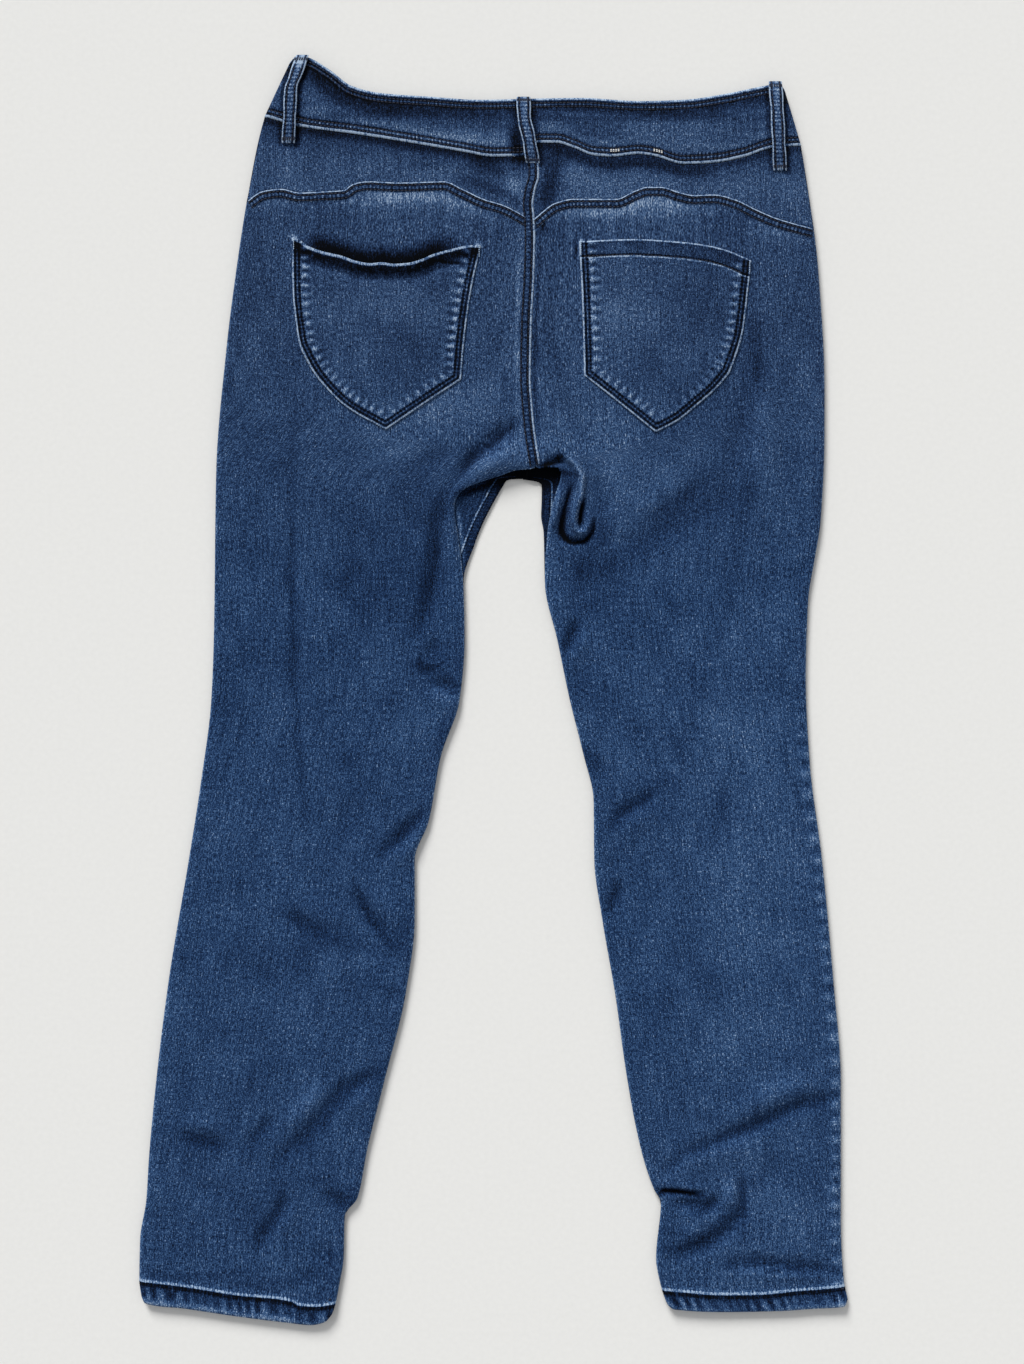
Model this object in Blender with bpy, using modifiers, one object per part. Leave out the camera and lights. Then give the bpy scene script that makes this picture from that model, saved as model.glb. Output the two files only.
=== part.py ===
"""Skinny jeans in stretch denim, laid flat on their front with the back up.

All sizes and tables are in millimetres and become metres when a mesh is made.
X runs across the hips, Y from the hems up to the waist, Z up from the surface
that the front lies on. Left and right are the wearer's, and the viewer's too.
"""

import math
from bisect import bisect_right
from collections import namedtuple

import bmesh
import bpy
from mathutils import Vector

MM = 0.001

# ---- cloth ------------------------------------------------------------------
WALL = 1.4              # one layer of denim
BAND_WALL = 2.0         # waistband: two layers pressed together
FRONT_BAND_WALL = 1.1   # its front ends, pressed flat under the back
LOOP_WALL = 1.6         # belt loop: a strip folded in three
POCKET_WALL = 1.2
GAP = 0.3               # between pieces that touch
HALF_GAP = GAP / 2
SLOPING_HALF_GAP = 0.3  # measured along Y, at seams that run aslant

# ---- heights above the surface ------------------------------------------------
LEG_TOP = 5.6           # outer face of the back legs
SEAT_TOP = 6.4          # outer face of the seat and yokes
SEAT_FROM, SEAT_TO = 90.0, 190.0        # y between which the leg becomes the seat
SEAM_BACK = 3.15        # where the back's edge rolls down to, at the side seams
LOWEST_TOP = 2 * WALL + GAP + 0.1       # deepest that a crease may go
BAND_TOP = 7.2          # outer face of the back waistband
BAND_SEAM = 4.6         # where the back waistband's ends roll down to
SEAM_RISE_FROM, SEAM_RISE_TO = 400.0, 455.0     # y where the side seam climbs to it
FRONT_BAND = 1.8        # outer face of the front waistband, over its belt loops

# ---- how an edge rolls over at a side seam ------------------------------------
EDGE_CALM = 16.0        # troughs fade out this close to a rolled edge
Edge = namedtuple("Edge", "rolled_inset flat_inset rise")
EDGE = (
    Edge(0.0, 0.0, 0.00),
    Edge(0.0, 1.2, 0.22),
    Edge(0.8, 2.4, 0.62),
    Edge(2.6, 4.0, 0.90),
    Edge(6.0, 6.0, 1.00),
)

# ---- seams and edges of the garment, as (place, value) rows --------------------
SIDE_LEFT = (           # y, x of the left side from waist to hem
    (503, -162), (459, -183), (400, -196), (336, -206), (272, -214), (176, -222),
    (40, -224), (-8, -226), (-72, -234), (-136, -244), (-232, -260), (-312, -270),
    (-376, -276), (-408, -278), (-440, -283), (-472, -283.6), (-485, -282),
)
SIDE_RIGHT = (
    (484, 233), (450, 243), (400, 252), (336, 260), (240, 265), (208, 265),
    (136, 262), (104, 257), (72, 252), (8, 250), (-56, 253), (-136, 263),
    (-232, 272), (-312, 278), (-424, 278), (-472, 280.4), (-487.5, 283.6),
)
CENTRE_BACK = (         # y, x of the seam down the seat
    (450, 30), (375, 31), (300, 29), (226, 30), (178, 33.5),
)
CENTRE_FRONT_X = 24.0
WAIST_LEFT_Y, WAIST_RIGHT_Y, WAIST_MIDDLE_Y = 458.0, 435.0, 437.0   # yoke corners at
YOKE_LEFT_Y, YOKE_RIGHT_Y, YOKE_MIDDLE_Y = 390.0, 368.0, 375.0      # waist and leg
WAIST_TOP = (           # x, y of the back waistband's upper edge
    (-163, 502), (-155.6, 508), (-147, 505.5), (-131, 496), (-113, 483), (-91, 477.5),
    (-51, 474.5), (-11, 472), (35, 473), (69, 473.5), (117, 471), (152, 472),
    (184, 476.5), (216, 483), (228, 485), (233, 480),
)
WAIST_SEAM = (          # x, y of the seam between back waistband and yokes
    (-183, 458), (-154, 450), (-110, 444), (-60, 436), (-25, 430), (0, 426),
    (22, 426.5), (36, 437), (50, 437), (64, 433), (80, 427), (95, 426), (116, 428),
    (130, 426), (152, 420), (175, 421), (201, 426), (223, 433), (247, 435),
)
YOKE_SEAM_LEFT = (
    (-197.5, 390), (-185, 398), (-170, 400), (-155, 397), (-135, 398), (-120, 399),
    (-112, 404), (-100, 406), (-76, 405), (-39, 406), (-25, 400), (-8, 392),
    (8, 387), (31, 375),
)
YOKE_SEAM_RIGHT = (
    (31, 375), (50, 389), (64, 392), (98, 392), (112, 398), (123, 401.5),
    (134, 401.5), (148, 397.5), (160, 395), (176, 395.5), (192, 392), (211, 383),
    (228, 376), (256.4, 368),
)
FRONT_WAIST_TOP = (
    (-163, 500), (-90, 470), (24, 452), (150, 461), (233, 479),
)
FRONT_WAIST_SEAM = (
    (-183, 458), (-150, 449), (-60, 422), (24, 412), (120, 414), (200, 425), (247, 435),
)
HEM_LEFT = (
    (-282, -485), (-279, -490.5), (-246, -495), (-206, -501), (-166, -506),
    (-146, -508), (-136, -506), (-129, -499), (-126, -490),
)
HEM_RIGHT = (
    (135, -481), (139.6, -492), (145, -495.6), (185, -497.6), (228, -496.8),
    (256, -495), (281, -493), (283.6, -487.5),
)

# ---- leg sections, from the yoke seam down to the hem --------------------------
# A section runs from the side seam at outer_y to the back's inner edge. Down the
# centre back the inner edge is the seat seam; from the crotch it is the inseam,
# where front_x and front_y give the front's edge, which shows past the back's.
Section = namedtuple("Section", "outer_y inner_x inner_y front_x front_y edge_z roll")
LEFT_SECTIONS = (
    Section(390, 31, 375, 24, 352, 6.4, 0.0),
    Section(332, 29, 300, 24, 288, 6.4, 0.0),
    Section(272, 30, 226, 24, 230, 6.4, 0.0),
    Section(242, 32, 196, 24, 203, 6.4, 0.0),
    Section(230, 33.3, 178, 23, 190, 5.4, 0.6),
    Section(216, 16, 175, 14, 182, 4.6, 1.0),
    Section(200, -4, 167, 7, 172, 4.4, 1.0),
    Section(182, -28, 162, 2, 158, 3.8, 1.0),
    Section(164, -29, 150, -4, 142, 3.15, 1.0),
    Section(136, -27, 126, -12, 118, 3.15, 1.0),
    Section(88, -24, 85, -24, 85, 3.15, 1.0),
    Section(40, -23, 40, -23, 40, 3.15, 1.0),
    Section(-8, -27, -8, -27, -8, 3.15, 1.0),
    Section(-52, -42, -53, -42, -53, 3.15, 1.0),
    Section(-104, -52, -106, -52, -106, 3.15, 1.0),
    Section(-136, -63, -136, -63, -136, 3.15, 1.0),
    Section(-184, -63, -184, -63, -184, 3.15, 1.0),
    Section(-240, -70, -242, -70, -242, 3.15, 1.0),
    Section(-312, -87, -312, -87, -312, 3.15, 1.0),
    Section(-368, -101, -368, -101, -368, 3.15, 1.0),
    Section(-404, -109, -407, -109, -407, 3.15, 1.0),
    Section(-422, -119, -421, -119, -421, 3.15, 1.0),
    Section(-456, -120, -456, -120, -456, 3.15, 1.0),
    Section(-470, -123, -474, -123, -474, 3.15, 1.0),
    Section(-485, -126, -490, -126, -490, 3.15, 1.0),
)
RIGHT_SECTIONS = (
    Section(368, 31, 375, 24, 352, 6.4, 0.0),
    Section(322, 29, 300, 24, 288, 6.4, 0.0),
    Section(268, 30, 226, 24, 230, 6.4, 0.0),
    Section(242, 32, 196, 24, 203, 6.4, 0.0),
    Section(228, 33.7, 178, 25, 190, 5.4, 0.6),
    Section(213, 48, 183, 31, 183, 4.8, 1.0),
    Section(197, 55, 178, 36, 174, 4.6, 1.0),
    Section(181, 52, 165, 38, 162, 3.8, 1.0),
    Section(163, 47, 148, 38, 146, 3.15, 1.0),
    Section(134, 43, 126, 40, 126, 3.15, 1.0),
    Section(88, 41, 86, 41, 86, 3.15, 1.0),
    Section(40, 51, 40, 51, 40, 3.15, 1.0),
    Section(-8, 61, -8, 61, -8, 3.15, 1.0),
    Section(-52, 72, -52, 72, -52, 3.15, 1.0),
    Section(-88, 80, -88, 80, -88, 3.15, 1.0),
    Section(-136, 80.5, -136, 80.5, -136, 3.15, 1.0),
    Section(-184, 87, -184, 87, -184, 3.15, 1.0),
    Section(-240, 97, -242, 97, -242, 3.15, 1.0),
    Section(-312, 107, -312, 107, -312, 3.15, 1.0),
    Section(-368, 118, -368, 118, -368, 3.15, 1.0),
    Section(-400, 129, -401, 129, -401, 3.15, 1.0),
    Section(-410, 134, -410, 134, -410, 3.15, 1.0),
    Section(-456, 130, -456, 130, -456, 3.15, 1.0),
    Section(-470, 132.5, -471, 132.5, -471, 3.15, 1.0),
    Section(-487.5, 135, -481, 135, -481, 3.15, 1.0),
)
CROTCH_SECTION = 4              # where the seat seam ends
APART_SECTIONS = range(5, 10)   # where the front's edge shows past the back's
APART_EDGE_Z = 1.7              # the front's edge curls up to here along them

# ---- folds of the back: ridges are high, troughs are low ------------------------
Fold = namedtuple("Fold", "x0 y0 x1 y1 width height")
FOLDS = (
    Fold(14, 212, -19, 183, 8, -1.2),       # valley above the left crotch facet
    Fold(20, 195, -20, 170, 8, 2.6),        # the facet's ridge
    Fold(-37, 144, -45, 72, 9, -1.4),       # inside of the left thigh
    Fold(-46, 40, -52, 22, 8, -1.1),
    Fold(-51, 6, -24, -3, 6, -1.6),
    Fold(-88, -130, -64, -108, 7, -1.5),
    Fold(-116, -160, -88, -198, 8, -1.2),
    Fold(-166, -180, -136, -194, 8, -0.9),
    Fold(-88, -306, -124, -330, 7, -1.3),
    Fold(-124, -330, -176, -378, 9, -1.8),
    Fold(-150, -335, -185, -352, 10, 0.9),
    Fold(-250, -358, -213, -364, 7, -1.3),
    Fold(-168, -412, -188, -440, 9, -1.4),
    Fold(65, 172, 68, 132, 6, 4.2),         # finger fold at the right crotch
    Fold(57, 158, 57, 128, 4, -1.6),
    Fold(68, 122, 78, 124, 5, -1.4),
    Fold(79, 172, 81, 128, 6, -1.5),
    Fold(190, 157, 107, 113, 16, -1.1),
    Fold(54, 30, 68, 55, 7, -1.3),
    Fold(95, -106, 128, -82, 9, -1.1),
    Fold(88, -186, 102, -154, 8, -1.2),
    Fold(141, -376, 206, -352, 7, -1.6),
    Fold(184, -364, 228, -344, 6, -1.7),
    Fold(228, -344, 277, -325, 8, -2.1),
    Fold(180, -340, 250, -318, 10, 1.0),
    Fold(135, -402, 168, -404, 5, -1.8),
    Fold(140, -417, 175, -414, 8, 1.1),
    Fold(192, -419, 142, -450, 8, -1.5),
    Fold(200, -399, 200, -420, 6, -0.9),
    Fold(188, -461, 268, -461, 6, -1.1),
)

# ---- hem --------------------------------------------------------------------
HEM_DEPTH = 17.0
HEM_STEP = 4.0          # length of the slope up to the hem's thicker cloth
HEM_RAISE = 0.6
HEM_FADE = 70.0         # the hem's own curve has died out this far above it
YOKE_FADE = 70.0

# ---- back pockets: corners are shared by the four sides --------------------------
Pocket = namedtuple("Pocket", "name top left low_left low_right right gape")
POCKETS = (
    Pocket(
        "pocket_left",
        ((-161, 361.5), (-149, 356), (-132, 348.5), (-104, 342), (-85, 341), (-56, 345),
         (-38, 351), (-10, 355)),
        ((-161, 361.5), (-160.4, 318), (-158, 294), (-155.5, 278), (-149, 263)),
        ((-149, 263), (-143.5, 253.5), (-131.5, 239), (-118, 226.5), (-86, 208)),
        ((-86, 208), (-55, 229), (-26, 248)),
        ((-10, 355), (-18, 318), (-23, 282), (-26, 248)),
        2.6,
    ),
    Pocket(
        "pocket_right",
        ((68.4, 358.5), (112, 360), (141, 358.5), (171, 355), (188.5, 350.5), (206, 343)),
        ((68.4, 358.5), (71, 306), (72, 270), (72.4, 251.5)),
        ((72.4, 251.5), (101, 229), (129.6, 206)),
        ((129.6, 206), (147, 215), (162, 227), (178, 241), (188.5, 253.5)),
        ((206, 343), (204.5, 329), (199, 285), (194, 268), (188.5, 253.5)),
        0.5,
    ),
)
MOUTH_SHARE = 0.22      # how far down a pocket its mouth stands open
POCKET_COLUMNS = 13
POCKET_ROWS = 10

# ---- belt loops: middle line from the upper end to the lower ----------------------
Loop = namedtuple("Loop", "name line half_width slack")
LOOPS = (
    Loop("belt_loop_left",
         ((-152.5, 507), (-158, 490), (-161.5, 480), (-162.5, 458), (-164, 437)), 5.2, 1.6),
    Loop("belt_loop_middle", ((24, 475), (24.5, 458), (28, 441), (31.5, 421)), 5.6, 1.2),
    Loop("belt_loop_right", ((226, 486), (228, 459), (229.5, 437), (231, 415)), 5.4, 1.6),
)
LOOP_ROWS = 8
LOOP_COLUMNS = 3
LOOP_DROP = (-14.0, -3.0)       # below the waist seam, where a loop comes down to the yoke
FRONT_LOOP_HALF_WIDTH = 5.2
FRONT_LOOP_INSETS = (3.0, -2.0) # from the front waistband's lower and upper edges
FRONT_LOOP_ROWS = 4
FRONT_LOOPS = (("belt_loop_front_left", -92.0), ("belt_loop_front_right", 146.0))

# ---- grids ------------------------------------------------------------------
INNER_COLUMNS = 9       # between the two edges of a back leg
FRONT_COLUMNS = 5
YOKE_ROWS = 4
BAND_ROWS = 3
FRONT_BAND_COLUMNS = 7
CROWD = 1.45            # how much closer the columns stand towards the inner edge
ROW_STEP = 21.0
FRONT_ROW_STEP = 40.0

# ---- fly --------------------------------------------------------------------
FLY_LENGTH = 118.0
FLY_TOP_Y = 408.0
ZIP_HALF_WIDTH = 12.0
ZIP_CHAIN_HALF_WIDTH = 3.0
ZIP_WALL = 0.8
ZIP_RAISE = 0.4
PLACKET_WIDTH = 38.0
PLACKET_WALL = 1.1
PLACKET_LONGER = 6.0    # than the zip
PLACKET_CURVE = 0.22    # share of its length that the rounded corner takes off
PLACKET_COLUMNS, PLACKET_ROWS = 7, 8
BAND_OVERLAP = 30.0
BAND_SLOPE = (3.0, 45.0)        # past the overlap, where the upper end comes down
BUTTON_RADIUS = 8.5
BUTTON_HEIGHT = 1.5
BUTTON_Y = 432.0
BUTTON_EDGE = (0.8, 0.5)        # width and height of its rounded rim
BUTTON_STEPS = 20

# ---- colours ------------------------------------------------------------------
DENIM = (0.022, 0.048, 0.114)
DENIM_WORN = (0.031, 0.061, 0.130)
DENIM_DARK = (0.024, 0.047, 0.098)
BRASS = (0.42, 0.30, 0.16)
TAPE = (0.012, 0.016, 0.035)

COLLECTION = "skinny_jeans"


# ---- small tools ------------------------------------------------------------------
class Curve:
    """A smooth line through (place, value) rows that never overshoots them."""

    def __init__(self, rows):
        rows = sorted(rows)
        self.place = [row[0] for row in rows]
        self.value = [row[1] for row in rows]
        steps = [b - a for a, b in zip(self.place, self.place[1:])]
        rises = [(b - a) / step for a, b, step in zip(self.value, self.value[1:], steps)]
        self.slope = [rises[0]]
        for before, after, left, right in zip(rises, rises[1:], steps, steps[1:]):
            if before * after <= 0:
                self.slope.append(0.0)
                continue
            weight_a, weight_b = 2 * right + left, right + 2 * left
            self.slope.append((weight_a + weight_b) / (weight_a / before + weight_b / after))
        self.slope.append(rises[-1])

    def __call__(self, at):
        at = min(max(at, self.place[0]), self.place[-1])
        index = min(max(bisect_right(self.place, at) - 1, 0), len(self.place) - 2)
        step = self.place[index + 1] - self.place[index]
        t = (at - self.place[index]) / step
        low, high = self.value[index], self.value[index + 1]
        return (low * (1 + 2 * t) * (1 - t) ** 2 + high * t * t * (3 - 2 * t)
                + step * (self.slope[index] * t * (1 - t) ** 2
                          - self.slope[index + 1] * t * t * (1 - t)))


class Path:
    """A smooth line in the plane, read by its share of the whole length."""

    def __init__(self, points):
        self.length = 0.0
        marks = [0.0]
        for (x0, y0), (x1, y1) in zip(points, points[1:]):
            self.length += math.hypot(x1 - x0, y1 - y0)
            marks.append(self.length)
        self.x = Curve([(mark, point[0]) for mark, point in zip(marks, points)])
        self.y = Curve([(mark, point[1]) for mark, point in zip(marks, points)])

    def __call__(self, share):
        return self.x(share * self.length), self.y(share * self.length)


def mix(a, b, share):
    return a + (b - a) * share


def ease(low, high, at):
    """0 at low and 1 at high, smooth between and level beyond."""
    t = min(max((at - low) / (high - low), 0.0), 1.0)
    return t * t * (3 - 2 * t)


def fold_height(x, y):
    total = 0.0
    for fold in FOLDS:
        run_x, run_y = fold.x1 - fold.x0, fold.y1 - fold.y0
        along = ((x - fold.x0) * run_x + (y - fold.y0) * run_y) / (run_x ** 2 + run_y ** 2)
        along = min(max(along, 0.0), 1.0)
        away = math.hypot(x - fold.x0 - run_x * along, y - fold.y0 - run_y * along)
        total += fold.height * math.exp(-(away / fold.width) ** 2)
    return total


def back_top(x, y, from_edge=EDGE_CALM):
    """Height of the back's outer face. Troughs die out towards a rolled edge."""
    plain = mix(LEG_TOP, SEAT_TOP, ease(SEAT_FROM, SEAT_TO, y))
    fold = fold_height(x, y)
    if fold < 0:
        fold *= ease(0, EDGE_CALM, from_edge)
    return max(plain + fold, LOWEST_TOP)


def side_seam_height(y):
    """Where the back's edge meets the front's, at the side of the garment."""
    return mix(SEAM_BACK, BAND_SEAM, ease(SEAM_RISE_FROM, SEAM_RISE_TO, y))


side_left = Curve(SIDE_LEFT)
side_right = Curve(SIDE_RIGHT)
centre_back = Curve(CENTRE_BACK)
waist_top = Curve(WAIST_TOP)
waist_seam = Curve(WAIST_SEAM)
front_waist_top = Curve(FRONT_WAIST_TOP)
front_waist_seam = Curve(FRONT_WAIST_SEAM)


# ---- making objects -----------------------------------------------------------------
def clear_scene():
    for old in list(bpy.data.objects):
        bpy.data.objects.remove(old, do_unlink=True)
    home = bpy.data.collections.new(COLLECTION)
    bpy.context.scene.collection.children.link(home)
    return home


def material(name, colour, roughness=0.85, metallic=0.0):
    made = bpy.data.materials.new(name)
    made.use_nodes = True
    shader = made.node_tree.nodes["Principled BSDF"]
    shader.inputs["Base Color"].default_value = (*colour, 1.0)
    shader.inputs["Roughness"].default_value = roughness
    shader.inputs["Metallic"].default_value = metallic
    return made


def sheet(name, columns, rows, place, wall, colour, faces_up=True):
    """A grid placed point by point by place(column, row), with Solidify for its wall."""
    grid = bmesh.new()
    bmesh.ops.create_grid(grid, x_segments=columns - 1, y_segments=rows - 1, size=1.0)
    for vertex in grid.verts:
        column = round((vertex.co.x + 1) / 2 * (columns - 1))
        row = round((vertex.co.y + 1) / 2 * (rows - 1))
        vertex.co = Vector(place(column, row)) * MM
    grid.normal_update()
    upward = sum(face.normal.z * face.calc_area() for face in grid.faces)
    if (upward > 0) != faces_up:
        bmesh.ops.reverse_faces(grid, faces=grid.faces)
    mesh = bpy.data.meshes.new(name)
    grid.to_mesh(mesh)
    grid.free()
    mesh.shade_smooth()
    made = bpy.data.objects.new(name, mesh)
    bpy.data.collections[COLLECTION].objects.link(made)
    thicken = made.modifiers.new("cloth wall", "SOLIDIFY")
    thicken.thickness = wall * MM
    thicken.offset = -1.0
    mesh.materials.append(material(name, colour))
    return made


# ---- columns across a piece ------------------------------------------------------------
def spread(middle, crowd=1.0):
    """Shares of the way across for the columns between the two edges."""
    return [1 - (1 - step / (middle + 1)) ** crowd for step in range(1, middle + 1)]


def columns_across(width, outer_roll, inner_roll, middle):
    """(distance from the outer end, rise at the outer edge, rise at the inner edge)."""
    made = []
    for edge in EDGE:
        inset = mix(edge.flat_inset, edge.rolled_inset, outer_roll)
        made.append((inset, 1 - outer_roll * (1 - edge.rise), 1.0))
    first, last = EDGE[-1].flat_inset, width - EDGE[-1].flat_inset
    for share in middle:
        made.append((mix(first, last, share), 1.0, 1.0))
    for edge in reversed(EDGE):
        inset = mix(edge.flat_inset, edge.rolled_inset, inner_roll)
        made.append((width - inset, 1.0, 1 - inner_roll * (1 - edge.rise)))
    return made


def count_columns(middle):
    return 2 * len(EDGE) + len(middle)


# ---- legs --------------------------------------------------------------------------
class Leg:
    """One leg's sections as smooth functions of the distance below its first one."""

    def __init__(self, sections, side, hem, step):
        self.side = side
        self.hem = Curve(hem)
        self.down = [sections[0].outer_y - section.outer_y for section in sections]
        self.read = {}
        for field in Section._fields:
            values = [getattr(section, field) for section in sections]
            self.read[field] = Curve(list(zip(self.down, values)))
        self.rows = []
        for start, end, here, there in zip(self.down, self.down[1:], sections, sections[1:]):
            inner_run = math.hypot(there.inner_x - here.inner_x, there.inner_y - here.inner_y)
            parts = max(1, round(max(end - start, inner_run) / step))
            self.rows += [mix(start, end, part / parts) for part in range(parts)]
        self.rows.append(self.down[-1])

    def at(self, field, down):
        return self.read[field](down)

    def outer(self, down):
        y = self.at("outer_y", down)
        return self.side(y), y


def leg_point(start, end, share, top_line, top_weight, hem_line, hem_weight, ends):
    """A point of a section, drawn towards the curved seam above and the hem below."""
    x, y = mix(start[0], end[0], share), mix(start[1], end[1], share)
    top_start, top_end, hem_start, hem_end = ends
    top_x, hem_x = mix(top_start[0], top_end[0], share), mix(hem_start[0], hem_end[0], share)
    y += top_weight * (top_line(top_x) - mix(top_start[1], top_end[1], share))
    y += hem_weight * (hem_line(hem_x) - mix(hem_start[1], hem_end[1], share))
    return x, y


def back_leg(name, sections, side, yoke_seam, hem, toward):
    """toward is +1 where the leg lies left of the seat seam, -1 where it lies right."""
    leg = Leg(sections, side, hem, ROW_STEP)
    top_line = Curve(yoke_seam)
    middle = spread(INNER_COLUMNS, CROWD)
    last = leg.rows[-1]

    def inner(down):
        x, y = leg.at("inner_x", down), leg.at("inner_y", down)
        if down < leg.down[CROTCH_SECTION]:
            x = centre_back(y)
        return x - toward * HALF_GAP, y

    ends = (leg.outer(0.0), inner(0.0), leg.outer(last), inner(last))

    def place(column, row):
        down = leg.rows[row]
        start, end = leg.outer(down), inner(down)
        width = math.hypot(end[0] - start[0], end[1] - start[1])
        roll = leg.at("roll", down)
        inset, outer_rise, inner_rise = columns_across(width, 1.0, roll, middle)[column]
        x, y = leg_point(start, end, inset / width, top_line, 1 - ease(0, YOKE_FADE, down),
                         leg.hem, 1 - ease(0, HEM_FADE, last - down), ends)
        y -= SLOPING_HALF_GAP * (1 - ease(0, YOKE_FADE, down))
        z = back_top(x, y, min(inset, mix(EDGE_CALM, width - inset, roll)))
        z += HEM_RAISE * ease(HEM_DEPTH + HEM_STEP, HEM_DEPTH, last - down)
        z -= (z - SEAM_BACK) * (1 - outer_rise)
        z -= (z - leg.at("edge_z", down)) * (1 - inner_rise)
        return x, y, z

    return sheet(name, count_columns(middle), len(leg.rows), place, WALL, DENIM)


def front_leg(name, sections, side, hem, toward):
    """The same sections as the back's, with one more above them, at the waistband."""
    curled = [SEAM_BACK - GAP] * len(sections)
    for index in APART_SECTIONS:
        curled[index] = APART_EDGE_Z
    waist = sections[0]._replace(
        outer_y=WAIST_LEFT_Y if toward > 0 else WAIST_RIGHT_Y,
        front_x=CENTRE_FRONT_X, front_y=front_waist_seam(CENTRE_FRONT_X))
    sections = (waist,) + sections
    curled = [curled[0]] + curled
    leg = Leg(sections, side, hem, FRONT_ROW_STEP)
    curl = Curve(list(zip(leg.down, curled)))
    middle = spread(FRONT_COLUMNS)
    last = leg.rows[-1]

    def inner(down):
        return leg.at("front_x", down) - toward * HALF_GAP, leg.at("front_y", down)

    ends = (leg.outer(0.0), inner(0.0), leg.outer(last), inner(last))

    def place(column, row):
        down = leg.rows[row]
        start, end = leg.outer(down), inner(down)
        width = math.hypot(end[0] - start[0], end[1] - start[1])
        roll = leg.at("roll", down)
        inset, outer_rise, inner_rise = columns_across(width, 1.0, roll, middle)[column]
        x, y = leg_point(start, end, inset / width, front_waist_seam,
                         1 - ease(0, YOKE_FADE, down), leg.hem,
                         1 - ease(0, HEM_FADE, last - down), ends)
        y -= SLOPING_HALF_GAP * (1 - ease(0, YOKE_FADE, down))
        z = (side_seam_height(start[1]) - GAP) * (1 - outer_rise) + curl(down) * (1 - inner_rise)
        return x, y, z

    return sheet(name, count_columns(middle), len(leg.rows), place, WALL, DENIM, False)


# ---- waist --------------------------------------------------------------------------
def strip(name, upper, lower, ends, rows, across, height, rim, wall, colour, faces_up=True):
    """A band between two curves. ends gives the x of its corners: upper left and right,
    lower left and right. across holds columns as columns_across gives them, height(x)
    is the band's face and rim(y) the height that its rolled ends come to."""
    up_left, up_right, low_left, low_right = ends

    def place(column, row):
        inset, left_rise, right_rise = across[column]
        share, level = inset / (low_right - low_left), row / (rows - 1)
        x_up, x_low = mix(up_left, up_right, share), mix(low_left, low_right, share)
        y_up, y_low = upper(x_up) - SLOPING_HALF_GAP, lower(x_low) + SLOPING_HALF_GAP
        x, y = mix(x_low, x_up, level), mix(y_low, y_up, level)
        z = height(x)
        z -= (z - rim(y)) * (2 - left_rise - right_rise)
        return x, y, z

    return sheet(name, len(across), rows, place, wall, colour, faces_up)


def flat_seat(x):
    return SEAT_TOP


def flat_band(x):
    return BAND_TOP


def band_rim(y):
    return BAND_SEAM


def front_band_rim(y):
    return BAND_SEAM - GAP


def yokes_and_waistband():
    """The waistband's columns are those of both yokes, so the seam's two sides agree."""
    middle = spread(INNER_COLUMNS, CROWD)
    mirrored = [1 - share for share in reversed(middle)]
    top_middle, low_middle = centre_back(WAIST_MIDDLE_Y), centre_back(YOKE_MIDDLE_Y)
    left_ends = (side_left(WAIST_LEFT_Y), top_middle - HALF_GAP,
                 side_left(YOKE_LEFT_Y), low_middle - HALF_GAP)
    right_ends = (top_middle + HALF_GAP, side_right(WAIST_RIGHT_Y),
                  low_middle + HALF_GAP, side_right(YOKE_RIGHT_Y))
    left = columns_across(left_ends[3] - left_ends[2], 1.0, 0.0, middle)
    right = columns_across(right_ends[3] - right_ends[2], 0.0, 1.0, mirrored)
    strip("yoke_left", waist_seam, Curve(YOKE_SEAM_LEFT), left_ends, YOKE_ROWS, left,
          flat_seat, side_seam_height, WALL, DENIM_WORN)
    strip("yoke_right", waist_seam, Curve(YOKE_SEAM_RIGHT), right_ends, YOKE_ROWS, right,
          flat_seat, side_seam_height, WALL, DENIM_WORN)

    def along_top(ends, inset):
        return mix(ends[0], ends[1], inset / (ends[3] - ends[2])) - left_ends[0]

    both = [(along_top(left_ends, inset), rise, 1.0) for inset, rise, _ in left]
    both += [(along_top(right_ends, inset), 1.0, rise) for inset, _, rise in right[1:]]
    strip("waistband_back", waist_top, waist_seam,
          (WAIST_TOP[0][0], WAIST_TOP[-1][0], left_ends[0], right_ends[1]),
          BAND_ROWS, both, flat_band, band_rim, BAND_WALL, DENIM_DARK)


def waistband_fronts():
    """The left end passes under the right one at the middle front, over the button."""
    meet_left = CENTRE_FRONT_X + BAND_OVERLAP / 2
    meet_right = CENTRE_FRONT_X - BAND_OVERLAP / 2
    over_left_end = FRONT_BAND + FRONT_BAND_WALL + GAP
    corner_left, corner_right = side_left(WAIST_LEFT_Y), side_right(WAIST_RIGHT_Y)
    slope = [meet_left + past for past in BAND_SLOPE]

    def left_face(x):
        return FRONT_BAND

    def right_face(x):
        return mix(over_left_end, FRONT_BAND, ease(*slope, x))

    strip("waistband_front_left", front_waist_top, front_waist_seam,
          (WAIST_TOP[0][0], meet_left, corner_left, meet_left), BAND_ROWS,
          columns_across(meet_left - corner_left, 1.0, 0.0, spread(FRONT_BAND_COLUMNS)),
          left_face, front_band_rim, FRONT_BAND_WALL, DENIM_DARK, False)
    strip("waistband_front_right", front_waist_top, front_waist_seam,
          (meet_right, WAIST_TOP[-1][0], meet_right, corner_right), BAND_ROWS,
          columns_across(corner_right - meet_right, 0.0, 1.0, spread(FRONT_BAND_COLUMNS)),
          right_face, front_band_rim, FRONT_BAND_WALL, DENIM_DARK, False)


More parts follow.
